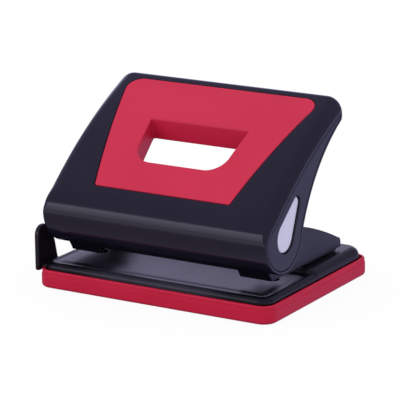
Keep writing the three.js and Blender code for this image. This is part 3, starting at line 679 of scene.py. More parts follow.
RED, BLACK, ENAMEL, ZINC, SPRING, PALE = Slot
FINISHES = {
    finish.name: finish
    for finish in (
        Moulded("tray_red", RED, (200, 22, 58), (193, 20, 54), 0.44, 0.4, 0.004, 0.28),
        Moulded("panel_red", RED, (204, 28, 65), (199, 25, 61), 0.5, 0.45, 0.012, 0.4),
        Moulded("handle_black", BLACK, (29, 27, 39), (26, 25, 36), 0.12, 0.5, 0.0015, 0.5),
        Moulded("cap_black", BLACK, (30, 29, 42), (27, 26, 38), 0.32, 0.4, 0.006, 0.5),
        # The guide's black carries a maroon cast: its own black plus a painted reflection of the
        # red tray.
        Moulded("guide_black", BLACK, (27, 20, 28), (23, 17, 24), 0.3, 0.4, 0.004, 0.5),
        # The base's last colour greys the front deck: rubbing by paper and a painted sheen.
        Enamel("base_enamel", ENAMEL, (12, 10, 15), (19, 17, 23), 0.29, (46, 45, 56)),
        Enamel("bracket_enamel", ENAMEL, (20, 18, 27), (27, 25, 35), 0.34),
        Metal("zinc_plate", ZINC, (186, 189, 197), (160, 164, 174), 0.3),
        Metal("ground_steel", ZINC, (196, 198, 203), (172, 174, 180), 0.22, (1, 1, 14)),
        Metal("spring_wire", SPRING, (150, 152, 158), (118, 120, 126), 0.3, (1, 1, 3)),
        Moulded("cover_silver", PALE, (224, 227, 243), (219, 222, 239), 0.34, 0.2, 0.002, 0.5),
    )
}


@cache
def material_of(finish: str) -> bpy.types.Material:
    """The material of a finish, made when it is first asked for."""
    return FINISHES[finish].material()


def dress(piece: Piece, finish: str, body: Body, node: str, angle: float = 38) -> None:
    """Smooths and finishes a piece, and has it ride in a solid's place.

    Args:
        piece: The piece.
        finish: Name of its finish.
        body: The body that it rides on.
        node: The solid that it stands for.
        angle: Steepest fold that is shaded smooth, in degrees.
    """
    smoothed(piece, angle)
    piece.data.materials.clear()
    piece.data.materials.append(material_of(finish))
    piece.data.update()
    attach(piece, body.value)
    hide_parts(node)
    LOG.info("%s: %d faces, %s on %s", piece.name, len(piece.data.polygons), finish, body.value)


# Sub-assemblies


@dataclass
class Plan:
    """A rounded rectangle seen from above."""

    half_x: float
    front_y: float
    rear_y: float
    front_radius: float
    rear_radius: float
    steps: int = 12
    between: int = 0
    least: float = 0.15

    def ring(
        self, inset: float, height: Callable[[float, float], float] | float, front: float = 0
    ) -> Ring:
        """The outline moved in, at a height.

        Args:
            inset: How far it is moved in.
            height: Its height, or a function of x and y that gives it.
            front: How far the front edge alone is moved back.

        Returns:
            The ring's points.
        """
        x, back = self.half_x - inset, self.rear_y - inset
        ahead = self.front_y + (inset if not front else 0) + front
        r0, r1 = (max(r - inset, self.least) for r in (self.front_radius, self.rear_radius))
        corners = [(-x, ahead, r0), (x, ahead, r0), (x, back, r1), (-x, back, r1)]
        points = closed_outline(corners, self.steps, self.between)
        lift = height if callable(height) else lambda u, v: height
        return [Vector((u, v, lift(u, v))) for u, v in points]


@dataclass
class ChipTray:
    """The red tray that catches the chips."""

    half_x: float = 54.0
    half_y: float = 41.6
    height: float = 7.4
    corner: float = 6.0
    wall: float = 1.4
    ledge: float = 1.4
    ledge_drop: float = 1.8
    floor: float = 1.6
    foot_round: float = 1.3
    lip_round: float = 0.65
    line_drop: float = 2.2
    line_inset: float = 0.25
    mouth_front: float = -37.8
    mouth_rear: float = -25.2
    mouth_foot: float = 6.7

    def build(self) -> None:
        """Makes the tray."""
        plan = Plan(self.half_x, -self.half_y, self.half_y, self.corner, self.corner, 16)
        line = self.height - self.line_drop
        ledge = self.height - self.ledge_drop
        inner = self.wall + self.ledge
        section = open_line(
            [
                (inner * 3, 0, 0),
                (0, 0, self.foot_round),
                (0, line, 0.1),
                (self.line_inset, line, 0.1),
                (self.line_inset, self.height, self.lip_round),
                (self.wall, self.height, 0.3),
                (self.wall, ledge, 0.15),
                (inner, ledge, 0.4),
                (inner, self.floor, 0.7),
                (inner * 3, self.floor, 0),
            ],
            5,
        )
        tray = drawn("tray_moulding", [plan.ring(inset, z) for inset, z in section])
        low = (-self.half_x - 1, self.mouth_front, self.mouth_foot)
        high = (-self.half_x + self.wall + 1, self.mouth_rear, self.height + 1)
        cut(tray, slab("mouth", low, high))
        dress(tray, "tray_red", Body.TRAY, "chip_tray")


@dataclass
class BasePressing:
    """The pressed base: front deck, raised rear deck, dies and the guide's straps."""

    half_x: float = 52.3
    half_y: float = 39.9
    front_corner: float = 5.5
    rear_corner: float = 6.5
    skirt_z: float = 5.9
    rim_z: float = 8.2
    deck_z: float = 10.1
    stop_z: float = 11.9
    stop_y: float = -3.0
    sheet: float = 1.2
    rim: float = 2.6
    stop_rim: float = 4.0
    press_inset: float = 0.12
    step_corner: float = 5.0
    valley_from: float = 2.6
    valley_width: float = 4.4
    valley_depth: float = 0.24
    valley_skew: float = 0.62
    valley_end: float = -7.0
    die_radius: float = 2.93
    die_round: float = 0.25
    rivet_hole: float = 1.8
    strap_x: Flat = (-45.1, -7.1)
    strap_half: float = 2.0
    strap_spare: float = 0.9
    way: Flat = (-37.8, -25.2)
    way_end: float = -54.0
    skirt_way_end: float = -50.1
    rim_steps: int = 16
    stop_steps: int = 30
    stop_ease: float = 1.0
    stop_foot: float = 0.6
    hollow_round: float = 0.6

    def plan(self, steps: int = 12, between: int = 0, least: float = 0.15) -> Plan:
        """The base's outline."""
        corners = (self.front_corner, self.rear_corner)
        return Plan(self.half_x, -self.half_y, self.half_y, *corners, steps, between, least)

    def front_pan(self) -> Piece:
        """The whole pan with its rolled rim and the valley round its front deck."""
        plan, steps = self.plan(14, 40, 1.6), self.rim_steps
        foot = self.skirt_z
        section = open_line([(5, foot, 0), (0, foot, 0.25), (0, self.rim_z, 0)])[:-1]
        rings = [plan.ring(inset, z) for inset, z in section]
        for k in range(steps + 1):
            angle = math.pi / 2 * k / steps
            z = lerp(self.rim_z, self.deck_z, math.sin(angle))
            rings.append(plan.ring(self.rim * (1 - math.cos(angle)), z))
        for k in range(1, steps + 1):
            share = k / steps
            depth = self.valley_depth * math.sin(math.pi * share**self.valley_skew) ** 2

            def height(x: float, y: float, depth: float = depth) -> float:
                """Height of the deck, sunk along the valley until it fades."""
                fade = eased_share(y, self.valley_end - 3, self.valley_end + 3)
                return self.deck_z - depth * (1 - fade)

            rings.append(plan.ring(self.valley_from + self.valley_width * share, height))
        return drawn("base_pressing", rings)

    def rear_deck(self) -> Piece:
        """The raised deck behind the paper stop."""
        corners = (self.step_corner, self.rear_corner)
        plan = Plan(self.half_x, self.stop_y, self.half_y, *corners, 14)
        steps, ease, foot = self.stop_steps, self.stop_ease, self.stop_foot
        rings = [plan.ring(self.press_inset, self.rim_z - 0.8, front=-foot)]
        for k in range(steps + 1):
            angle = math.pi / 2 * k / steps
            inset = lerp(self.stop_rim, self.press_inset, math.cos(angle))
            z = lerp(self.rim_z, self.stop_z, math.sin(angle))
            over = max(z - (self.stop_z - ease), 0)
            under = min(max(self.deck_z + foot - z, 0), foot)
            back = fallen(ease, over) - fallen(foot, under)
            rings.append(plan.ring(inset, z, front=back or 1e-5))
        return drawn("rear_deck", rings)

    def hollow(self, name: str, plan: Plan, inset: float, foot_z: float, deck: float) -> Piece:
        """A space under a deck, with rounded corners."""
        top = deck - self.sheet
        rings = [plan.ring(inset, foot_z)]
        rings += [plan.ring(i, z) for i, z in edge_round(self.hollow_round, inset, top)]
        return drawn(name, rings)

    def build(self) -> None:
        """Makes the base."""
        base = cut(self.front_pan(), self.rear_deck(), Cut.ADD)
        low, top = self.skirt_z, self.deck_z - self.sheet
        cut(base, self.hollow("hollow", self.plan(), self.sheet, low - 1, self.deck_z))
        raised = self.sheet + self.stop_rim / 3
        ahead = self.stop_y + self.sheet - raised
        behind = Plan(self.half_x, ahead, self.half_y, 3, self.rear_corner)
        cut(base, self.hollow("raised_hollow", behind, raised, low, self.stop_z))
        (front, rear), half, spare = self.way, self.strap_half, self.strap_spare
        for x in self.strap_x:
            first, last = (x - half, front - spare, low - 0.1), (x + half, rear + spare, top + 0.6)
            cut(base, slab("strap", first, last, 0.2), Cut.ADD)
        last = (self.strap_x[1] + half * 2, rear, top)
        cut(base, slab("way", (self.way_end, front, low + 0.8), last))
        last = (self.skirt_way_end, rear, low + 1.1)
        cut(base, slab("skirt_way", (self.way_end, front, low - 1), last))
        for side, _ in SIDES:
            r, at = self.die_radius, Vector((side * PINS[0], PINS[1], 0))
            mouth = edge_round(self.die_round, r, self.deck_z)
            bore = [(r, low), *mouth, (r + self.die_round, self.stop_z)]
            cut(base, lathed("die", bore, at, sides=64))
            for y in RIVET_ROWS.values():
                at = Vector((side * RIVET_X, y, 0))
                cut(base, lathed("bore", [(self.rivet_hole, 9.5), (self.rivet_hole, 13)], at))
        dress(base, "base_enamel", Body.PUNCH, "base_plate")


@dataclass
class Bracket:
    """The bent steel bracket, its four rivets and the pivot rod."""

    ear_x: float = 46.5
    bend: float = 0.9
    foot_top: float = 13.4
    window: tuple[Place, Place] = ((-31, -27.1, 15.5), (31, -7, 18))
    rod_half: float = 48.6
    rod_radius: float = 2.0

    def bracket(self) -> None:
        """Makes the bracket, open between the pins, with bent front corners and broken edges."""
        piece = cut(refined("punch_bracket", "bracket_pressing"), slab("window", *self.window))

        def corner(edge: bmesh.types.BMEdge) -> bool:
            """Whether an edge is where the front bends back into an ear."""
            if any(abs(abs(vert.co.x) - self.ear_x * MM) > MERGE * 20 for vert in edge.verts):
                return False
            normals = [face.normal for face in edge.link_faces]
            sideways = any(abs(normal.x) > 0.9 for normal in normals)
            return sideways and any(normal.y < -0.3 for normal in normals)

        softened(bevelled_where(piece, corner, self.bend), 0.18)
        dress(piece, "bracket_enamel", Body.PUNCH, "punch_bracket")

    def rivet(self, name: str, x: float, y: float) -> None:
        """Makes one rivet, with a domed head and an upset tail."""
        head = open_line([(2.8, 0.3, 0), (2.8, 0.75, 0.35), (2.0, 1.45, 0.6), (0.05, 1.6, 0)], 5)
        tail = open_line([(0.05, -3.9, 0), (2.4, -3.7, 0.4), (2.4, -3.0, 0.1), (1.5, -3.0, 0)], 4)
        profile = tail + [(1.5, 0.3)] + head
        at = Vector((x, y, self.foot_top))
        piece = lathed(name.replace("bracket_", "") + "_head", profile, at)
        dress(piece, "zinc_plate", Body.PUNCH, name)

    def build(self) -> None:
        """Makes the bracket and what is fixed in it."""
        self.bracket()
        for row, y in RIVET_ROWS.items():
            for side, name in SIDES:
                self.rivet(f"bracket_rivet_{row}_{name}", side * RIVET_X, y)
        half = self.rod_half
        end = [*edge_round(0.4, self.rod_radius, half, -1), (0.1, half)]
        profile = [(r, -h) for r, h in reversed(end)] + end
        rod = lathed("pivot_pin", profile, Vector(PIVOT), Vector((1, 0, 0)))
        dress(rod, "zinc_plate", Body.PUNCH, "pivot_rod")


@dataclass
class PaperGuide:
    """The black ruler that slides out on the left, with its upright end."""

    inner_x: float = -54.35
    end_thickness: float = 1.2
    end_edge: float = 0.28
    front_y: float = -39.7
    foot_z: float = 5.9
    depth: float = 15.2
    height: float = 18.6
    top_depth: float = 6.2
    waist: Flat = (12.5, 11.0)
    top_radius: float = 2.6
    front_radius: float = 4.0
    rib: Flat = (1.2, 0.65)
    rib_step: float = 0.03
    rib_edge: float = 0.25
    rib_foot: float = 7.9
    ruler: tuple[float, float, float, float] = (-37.5, -25.5, 7.0, 8.6)
    length: float = 98.0
    notch_pitch: float = 6.0
    notch: float = 0.8
    notches: int = 14

    def front_rib(self) -> Piece:
        """The rib that stiffens the upright end along its front edge."""
        (deep, tall), step, radius = self.rib, self.rib_step, self.front_radius
        y, top = self.front_y, self.foot_z + self.height
        centre = (y + radius, top - radius)
        outline = [(y + step, self.rib_foot), (y + deep, self.rib_foot)]
        outline += arc(centre, radius - deep, math.pi, math.pi / 2, 8)
        outline += arc(centre, radius - step, math.pi / 2, math.pi, 8)
        from_x, to_x = self.inner_x - self.end_thickness / 2, self.inner_x + tall
        return across("rib", outline, from_x, to_x, self.rib_edge)

    def build(self) -> None:
        """Makes the guide."""
        y, z = self.front_y, self.foot_z
        outline = closed_outline(
            [
                (y, z, self.top_radius / 2),
                (y + self.depth, z, self.top_radius / 2),
                (y + self.waist[0], z + self.waist[1], self.top_radius * 2),
                (y + self.top_depth, z + self.height, self.top_radius),
                (y, z + self.height, self.front_radius),
            ]
        )
        outer = self.inner_x - self.end_thickness
        guide = across("guide_moulding", outline, outer, self.inner_x, self.end_edge)
        cut(guide, self.front_rib(), Cut.ADD)
        front, rear, low, high = self.ruler
        first = (self.inner_x - self.end_thickness / 2, front, low)
        cut(guide, slab("rule", first, (self.inner_x + self.length, rear, high), 0.2), Cut.ADD)
        half = self.notch / 2
        for k in range(1, self.notches + 1):
            x = self.inner_x + self.notch_pitch * k
            last = (x + half, front + self.notch, high + 1)
            cut(guide, slab("notch", (x - half, front - 1, low - 1), last))
        dress(guide, "guide_black", Body.GUIDE, "paper_guide")


@dataclass
class SkinPoint:
    """A point of the profile: on the middle skin, on the side, and the roll's width between."""

    middle: Flat
    side: Flat
    width: float
    back: float = 0.0


@dataclass
class HandleForm:
    """The handle's shape, measured from its pivot."""

    half_x: float = 51.5
    cavity_x: float = 46.9
    seat_x: float = 48.9
    nose: float = 14.8
    nose_steps: int = 48
    face_radius: float = 222.0
    slope: float = math.radians(41.5)
    length: float = 63.5
    lip_angle: float = math.radians(228.5)
    leave_angle: float = math.radians(-20)
    bulge: float = 5.2
    rear_round: float = 3.5
    rear_height: float = 6.8
    rear_lean: float = 1.2
    face_wall: float = 3.5
    nose_wall: float = 2.2
    rear_wall: float = 2.2
    nose_roll: float = 1.4
    nose_arcs: tuple[tuple[float, float, int], ...] = ((20.0, 66.0, 14), (10.1, 90.0, 14))
    nose_front: float = 15.7
    nose_rise: float = 0.13
    settling: float = math.radians(115)
    settled: float = math.radians(165)
    crease_roll: Flat = (2.3, 1.15)
    crease_drop: float = 0.7
    crease_pull: Flat = (-10.6, 5.1)
    corner_passes: int = 40
    side_nose: float = 13.5
    side_ahead: float = 0.9
    side_drop: float = 0.3
    front_roll: Flat = (5.0, 4.4)
    rear_roll: Flat = (6.6, 5.5)
    back_roll: Flat = (1.2, 0.3)
    tip: float = 1.6
    tip_setback: float = 2.9
    draw_lean: float = math.radians(10.7)
    under_steps: int = 56
    back_steps: int = 30
    tip_steps: int = 12
    face_steps: int = 40
    roll_steps: int = 10

    def __post_init__(self) -> None:
        """Works out the face's centre, the rear lip and the profile."""
        start = (-self.nose * math.sin(self.slope), self.nose * math.cos(self.slope))
        self.centre: Flat = (
            start[0] + self.face_radius * math.sin(self.slope),
            start[1] - self.face_radius * math.cos(self.slope),
        )
        self.rear_slope = self.slope - self.length / self.face_radius
        self.rear_centre = self.on_face(self.length, self.rear_round)
        self.rear_edge = self.rear_centre[0] + self.rear_round
        self.rear_lip = (self.rear_edge - self.rear_lean, self.rear_centre[1] - self.rear_height)
        self.profile = self.profile_points()

    def on_face(self, along: float, depth: float) -> Flat:
        """A point along the face from the nose, sunk by a depth square to it."""
        slope = self.slope - along / self.face_radius
        radius = self.face_radius - depth
        y, z = polar(radius, slope)
        return (self.centre[0] - z, self.centre[1] + y)

    def at(self, x: float, point: Flat) -> Vector:
        """A point of the handle in the punch's frame."""
        return Vector(PIVOT) + Vector((x, *point))

    def nose_points(self) -> list[SkinPoint]:
        """The profile round the nose: a swell down to the crease, the nose, its underside."""
        points = []
        here, slope = self.on_face(0, 0), self.slope
        crease_slope = math.radians(self.nose_arcs[0][1])
        for radius, to, steps in self.nose_arcs:
            (y, z), first = here, slope
            for k in range(1, steps + 1):
                slope = lerp(first, math.radians(to), k / steps)
                here = (
                    y - radius * (math.sin(slope) - math.sin(first)),
                    z + radius * (math.cos(slope) - math.cos(first)),
                )
                share = eased_share(slope, crease_slope, math.pi / 2)
                drop = lerp(self.crease_roll[1], self.crease_drop, share)
                side = (here[0] + drop * math.sin(slope), here[1] - drop * math.cos(slope))
                width = lerp(self.crease_roll[0], self.nose_roll, share)
                points.append(SkinPoint(here, side, width))
        count = self.nose_arcs[0][2]
        side_from, crease = self.on_face(0, self.front_roll[1]), points[count - 1].side
        for k in range(count):
            t = (k + 1) / count
            ends = zip(side_from, self.crease_pull, crease)
            points[k].side = tuple(curved(*places, t) for places in ends)
            points[k].width = lerp(self.front_roll[0], self.crease_roll[0], eased_share(t, 0, 1))
        for _ in range(self.corner_passes):
            sides = [point.side for point in points]
            for k in range(3, len(points) - 3):
                points[k].side = tuple((a + b) / 2 for a, b in zip(sides[k - 1], sides[k + 1]))
        first, last = math.pi / 2, math.tau + self.leave_angle - math.pi / 2
        for k in range(1, self.under_steps):
            slope = lerp(first, last, k / self.under_steps)
            settle = eased_share(slope, self.settling, self.settled)
            inside = self.nose_place(slope, self.crease_drop)
            side = midway(inside, self.side_circle(math.pi / 2 + slope), settle)
            points.append(SkinPoint(self.nose_place(slope, 0), side, self.nose_roll))
        return points

    def nose_place(self, slope: float, inset: float) -> Flat:
        """A point of the round nose, whose radius settles to that of its underside."""
        share = eased_share(slope, math.pi / 2, self.settled)
        radius = lerp(self.nose_front, self.nose, share) - inset
        return (-radius * math.sin(slope), radius * math.cos(slope) + self.nose_rise * (1 - share))

    def side_circle(self, angle: float) -> Flat:
        """A point of the side's round end."""
        y, z = polar(self.side_nose, angle)
        return (y - self.side_ahead, z - self.side_drop)

    def back_points(self, tip_start: Flat) -> list[SkinPoint]:
        """The profile of the open back, from the nose to the rear lip."""
        middle_from = polar(self.nose, self.leave_angle)
        middles = bulged(middle_from, self.rear_lip, self.bulge, self.back_steps)
        side_from = self.side_circle(self.leave_angle)
        sides = bulged(side_from, tip_start, self.bulge, self.back_steps)
        points = []
        width, drop = self.back_roll
        for k, (far, side) in enumerate(zip(middles[:-1], sides)):
            share = k / self.back_steps
            middle = midway((side[0] + drop, side[1] - drop), far, share**2)
            ramp = eased_share(share, 0, 0.12) * (1 - eased_share(share, 0.9, 1))
            points.append(SkinPoint(middle, side, lerp(width, self.rear_roll[0], share**4), ramp))
        return points

    def face_roll(self, share: float) -> Flat:
        """Width and drop of the roll to the side, at a share of the way along the face."""
        return midway(self.front_roll, self.rear_roll, share**2)

    def profile_points(self) -> list[SkinPoint]:
        """The whole closed profile, anticlockwise as seen from the right."""
        tip_centre = self.on_face(self.length - self.tip_setback, self.rear_roll[1] + self.tip)
        top = math.pi / 2 + self.rear_slope
        tip = arc(tip_centre, self.tip, -math.pi / 4, top, self.tip_steps)
        points = self.nose_points() + self.back_points(tip[0])
        rear = [self.rear_lip] + arc(self.rear_centre, self.rear_round, 0, top, self.tip_steps - 1)
        points += [SkinPoint(m, s, self.rear_roll[0]) for m, s in zip(rear[:-1], tip)]
        for k in range(self.face_steps + 1):
            share = 1 - k / self.face_steps
            width, drop = self.face_roll(share)
            side = self.on_face((self.length - self.tip_setback) * share, drop)
            points.append(SkinPoint(self.on_face(self.length * share, 0), side, width))
        return points

    def skin(self, name: str) -> Piece:
        """The handle's closed skin."""
        shares = [k / self.roll_steps for k in range(self.roll_steps + 1)]
        stations = [(-1, 1 - t) for t in shares] + [(1, t) for t in shares]
        rings: list[Ring] = []
        for side, t in stations:
            ring = []
            for point in self.profile:
                drop = math.dist(point.side, point.middle)
                turn = 2 * math.atan(max(drop, self.back_roll[1]) / point.width)
                over = (1 - math.cos(t * turn)) / (1 - math.cos(turn))
                reach = math.sin(t * turn) / math.sin(turn)
                x = self.half_x - point.width * (1 - reach)
                ring.append(self.at(side * x, midway(point.middle, point.side, over)))
            rings.append(ring)
        return drawn(name, rings)

    def sunk(self, x: float, along: float) -> float:
        """How far the skin has rolled down below the face at a place on it."""
        width, drop = self.face_roll(min(max(along / self.length, 0), 1))
        turn = 2 * math.atan(drop / width)
        reach = min(max(1 - (self.half_x - abs(x)) / width, 0), 1)
        angle = math.asin(reach * math.sin(turn))
        return drop * (1 - math.cos(angle)) / (1 - math.cos(turn))

    def on_skin(self, points: Sequence[Flat], depth: float) -> Ring:
        """An outline in (x, distance along the face), laid at a depth below the skin."""
        return [self.at(x, self.on_face(v, depth + self.sunk(x, v))) for x, v in points]

    def on_side(self, x: float, points: Sequence[Flat]) -> Ring:
        """An outline on one of the handle's sides."""
        return [self.at(x, point) for point in points]

    def drawn_down(self, points: Sequence[Flat], depth: float) -> Ring:
        """An outline of the slot's wall, at a depth below the face, along the line of draw."""
        step = (math.sin(self.draw_lean), -math.cos(self.draw_lean))
        radius = self.face_radius - depth
        ring = []
        for x, along in points:
            y, z = self.on_face(along, 0)
            to = (y - self.centre[0], z - self.centre[1])
            half = to[0] * step[0] + to[1] * step[1]
            short = math.hypot(*to) ** 2 - radius**2
            reach = -half - math.sqrt(half * half - short)
            ring.append(self.at(x, (y + step[0] * reach, z + step[1] * reach)))
        return ring

    def side_outline(self, inset: float, back_extra: float = 0.4) -> list[Flat]:
        """The outline of the side, moved in, and further along the open back."""
        points = [point.side for point in self.profile]
        return moved_in(points, [inset + back_extra * point.back for point in self.profile])


@dataclass
class Handle:
    """The handle's moulding with its red panel, its side caps and the covers of its pivot."""

    form: HandleForm = field(default_factory=HandleForm)
    panel_ends: tuple[Corner, Corner] = ((30.9, 2.0, 0.8), (45.1, 61.7, 6.0))
    slot_ends: tuple[Corner, Corner] = ((19.9, 16.6, 8.5), (22.6, 39.1, 0.6))
    fit: float = 0.3
    ring_gap: float = 0.2
    panel_thickness: float = 1.6
    panel_edge: float = 0.35
    slot_lip: float = 0.8
    lip_steps: int = 5
    collar: float = 1.6
    collar_depth: float = 8.5
    collar_foot: float = 0.35
    collar_land: float = 1.2
    seat_round: float = 0.22
    seat_over: float = 2.0
    way_depths: Flat = (-3.0, 12.0)
    lip_ease: float = 0.5
    face_spans: int = 24
    spans: int = 7
    rod_radius: float = 2.3
    cap_rim: float = 0.5
    cap_edge: float = 0.3
    cover_radius: float = 6.2
    cover_tip: float = 2.4
    cover_reach: float = 14.6
    cover_slope: float = math.radians(54)
    cover_thickness: float = 0.8
    cover_sunk: float = 0.75
    cover_edge: float = 0.45
    cover_crown: float = 0.05
    crown_step: float = 0.7
    recess_gap: float = 0.35
    recess_round: float = 0.2

    def grown(self, ends: tuple[Corner, Corner], grow: float) -> list[Flat]:
        """The outline of the panel or the slot, grown on all sides.

        Args:
            ends: Half width, distance along the face and corner radius, at front and rear.
            grow: How much larger it is than drawn.

        Returns:
            Its points in (x, distance), which pair up with those of the other outline.
        """
        (x0, v0, r0), (x1, v1, r1) = ends
        r0, r1 = max(r0 + grow, 0.3), max(r1 + grow, 0.3)
        x0, v0, x1, v1 = x0 + grow, v0 - grow, x1 + grow, v1 + grow
        corners = [(-x0, v0, r0), (x0, v0, r0), (x1, v1, r1), (-x1, v1, r1)]
        return closed_outline(corners, 12, 14)

    def hollow(self) -> Piece:
        """The space inside the handle, open at the back and below the nose."""
        form = self.form
        inner, ease, lip = form.nose - form.nose_wall, self.lip_ease, form.lip_angle
        nose = arc((0, 0), inner, math.pi / 2 + form.slope, lip - ease / inner, form.nose_steps)
        lips = [(inner + i, lip + d / inner) for i, d in edge_round(ease)]
        outer = -form.nose_place(lip - math.pi / 2, 0)[0] / math.sin(lip - math.pi / 2)
        lips += [(outer + d, lip - i / outer) for i, d in edge_round(ease)]
        lips += [(outer * 1.15, lip - ease / outer), (outer * 3, lip)]
        lips = [polar(radius, angle) for radius, angle in lips]
        rear_y = form.rear_edge - form.rear_wall
        rear_z = form.on_face(form.length - form.rear_round / 2, form.face_wall)[1]
        span, count = form.length - form.rear_round, self.face_spans
        face = [form.on_face(span * (1 - k / count), form.face_wall) for k in range(count + 1)]
        rear = [(rear_y, lips[-1][1]), (rear_y, rear_z - form.rear_wall)]
        outline = [*rear, *face, *nose[1:], *lips]
        places = [point.yz for point in form.on_side(0, outline)]
        return across("hollow", places, -form.cavity_x, form.cavity_x)

    def spread(self, start: list[Flat], end: list[Flat], steps: range, depth: float) -> list[Ring]:
        """Rings that lead over the skin, at a depth, from one outline towards another."""
        shares = [k / self.spans for k in steps]
        return [self.form.on_skin(blended(start, end, share), depth) for share in shares]

    def panel_seat(self) -> Piece:
        """The pocket for the panel, with a softened rim."""
        fit, steps = self.fit, range(self.spans + 1)
        hole, outer = self.grown(self.slot_ends, -1), self.grown(self.panel_ends, fit)
        rings = self.spread(hole, outer, steps, self.panel_thickness + fit)
        for grow, height in edge_round(self.seat_round, fit):
            rings.append(self.form.on_skin(self.grown(self.panel_ends, grow), -height))
        outer = self.grown(self.panel_ends, fit + self.seat_round)
        rings += self.spread(outer, hole, steps, -self.seat_over)
        return drawn("panel_seat", rings, closed=True)

    def slot_way(self) -> Piece:
        """The hole through the handle for the slot's collar."""
        points = self.grown(self.slot_ends, self.collar + self.fit)
        return drawn("slot_way", [self.form.drawn_down(points, d) for d in self.way_depths])

    def shell(self) -> None:
        """Makes the handle's moulding."""
        form = self.form
        shell = form.skin("handle_moulding")
        bore = [(self.rod_radius, -form.half_x), (self.rod_radius, form.half_x)]
        for tool in (self.hollow(), self.panel_seat(), self.slot_way()):
            cut(shell, tool)
        cut(shell, lathed("bore", bore, Vector(PIVOT), Vector((1, 0, 0))))
        for side, _ in SIDES:
            seat = [point.yz for point in form.on_side(0, form.side_outline(self.cap_rim))]
            cut(shell, across("seat", seat, side * form.seat_x, side * (form.half_x + 1)))
        dress(shell, "handle_black", Body.HANDLE, "handle_shell", 32)

    def panel(self) -> None:
        """Makes the red panel: its skin, the slot's rounded lip and the collar in one."""
        form = self.form
        thick, lip, foot = self.panel_thickness, self.slot_lip, self.collar_foot
        rings = [form.on_skin(self.grown(self.panel_ends, 0), thick)]
        for grow, height in edge_round(self.panel_edge, way=-1):
            rings.append(form.on_skin(self.grown(self.panel_ends, grow), -height))
        outer = self.grown(self.panel_ends, -self.panel_edge)
        inner, slot = self.grown(self.slot_ends, lip), self.grown(self.slot_ends, 0)
        rings += self.spread(outer, inner, range(1, self.spans), 0)
        lines = (form.on_skin(inner, 0), form.on_skin(slot, 0), form.drawn_down(slot, lip))
        for k in range(self.lip_steps + 1):
            rings.append([curved(*places, k / self.lip_steps) for places in zip(*lines)])
        deep = self.collar_depth
        low = [(0, lip + (deep - foot - lip) * k / 3) for k in (1, 2, 3)]
        low += edge_round(foot, 0, deep)[1:] + edge_round(foot, self.collar, deep, -1)[::-1]
        for grow, depth in low + [(self.collar, thick)]:
            rings.append(form.drawn_down(self.grown(self.slot_ends, grow), depth))
        inner = self.grown(self.slot_ends, self.collar + self.collar_land)
        rings += self.spread(inner, self.grown(self.panel_ends, 0), range(self.spans), thick)
        panel = drawn("panel_moulding", rings, closed=True)
        dress(panel, "panel_red", Body.HANDLE, "grip_panel", 50)

    def cover_outline(self, grow: float) -> list[Flat]:
        """A round end about the pivot and a smaller tip, joined by straight flanks."""
        lean = math.acos((self.cover_radius - self.cover_tip) / self.cover_reach)
        slope = self.cover_slope
        tip, start, end = polar(self.cover_reach, slope), slope + lean, slope + math.tau - lean
        round_end = arc((0, 0), self.cover_radius + grow, start, end, 40)
        return round_end + arc(tip, self.cover_tip + grow, slope - lean, slope + lean, 20)

    def side_parts(self, side: int, name: str) -> None:
        """Makes one side cap and its teardrop cover."""
        form, outer = self.form, self.form.half_x
        stations = [(0.0, form.seat_x + self.fit), *edge_round(self.cap_edge, 0, outer)]
        gap = self.cap_rim + self.fit
        rings = [form.on_side(side * x, form.side_outline(gap + inset)) for inset, x in stations]
        cap = drawn(f"cap_moulding_{name}", rings)
        edge, gap = self.recess_round, self.recess_gap
        floor = outer - self.cover_thickness - self.cover_sunk - self.ring_gap
        recess = [(0.0, floor), *edge_round(edge, 0, outer), (edge, outer + 1)]
        rings = [form.on_side(side * x, self.cover_outline(gap + grow)) for grow, x in recess]
        cut(cap, drawn("recess", rings))
        dress(cap, "cap_black", Body.HANDLE, f"side_cap_{name}", 32)

        face = outer - self.cover_sunk
        stations = [(0.0, face - self.cover_thickness), *edge_round(self.cover_edge, 0, face, -1)]
        crown = [self.cover_crown * (1 - (1 - k / 3) ** 2) for k in (1, 2, 3)]
        stations += [(-self.crown_step * (k + 1), face + rise) for k, rise in enumerate(crown)]
        rings = [form.on_side(side * x, self.cover_outline(grow)) for grow, x in stations]
        cover = drawn(f"cover_teardrop_{name}", rings)
        dress(cover, "cover_silver", Body.HANDLE, f"pivot_cover_{name}", 50)

    def build(self) -> None:
        """Makes the handle's pieces."""
        self.shell()
        self.panel()
        for side, name in SIDES:
            self.side_parts(side, name)


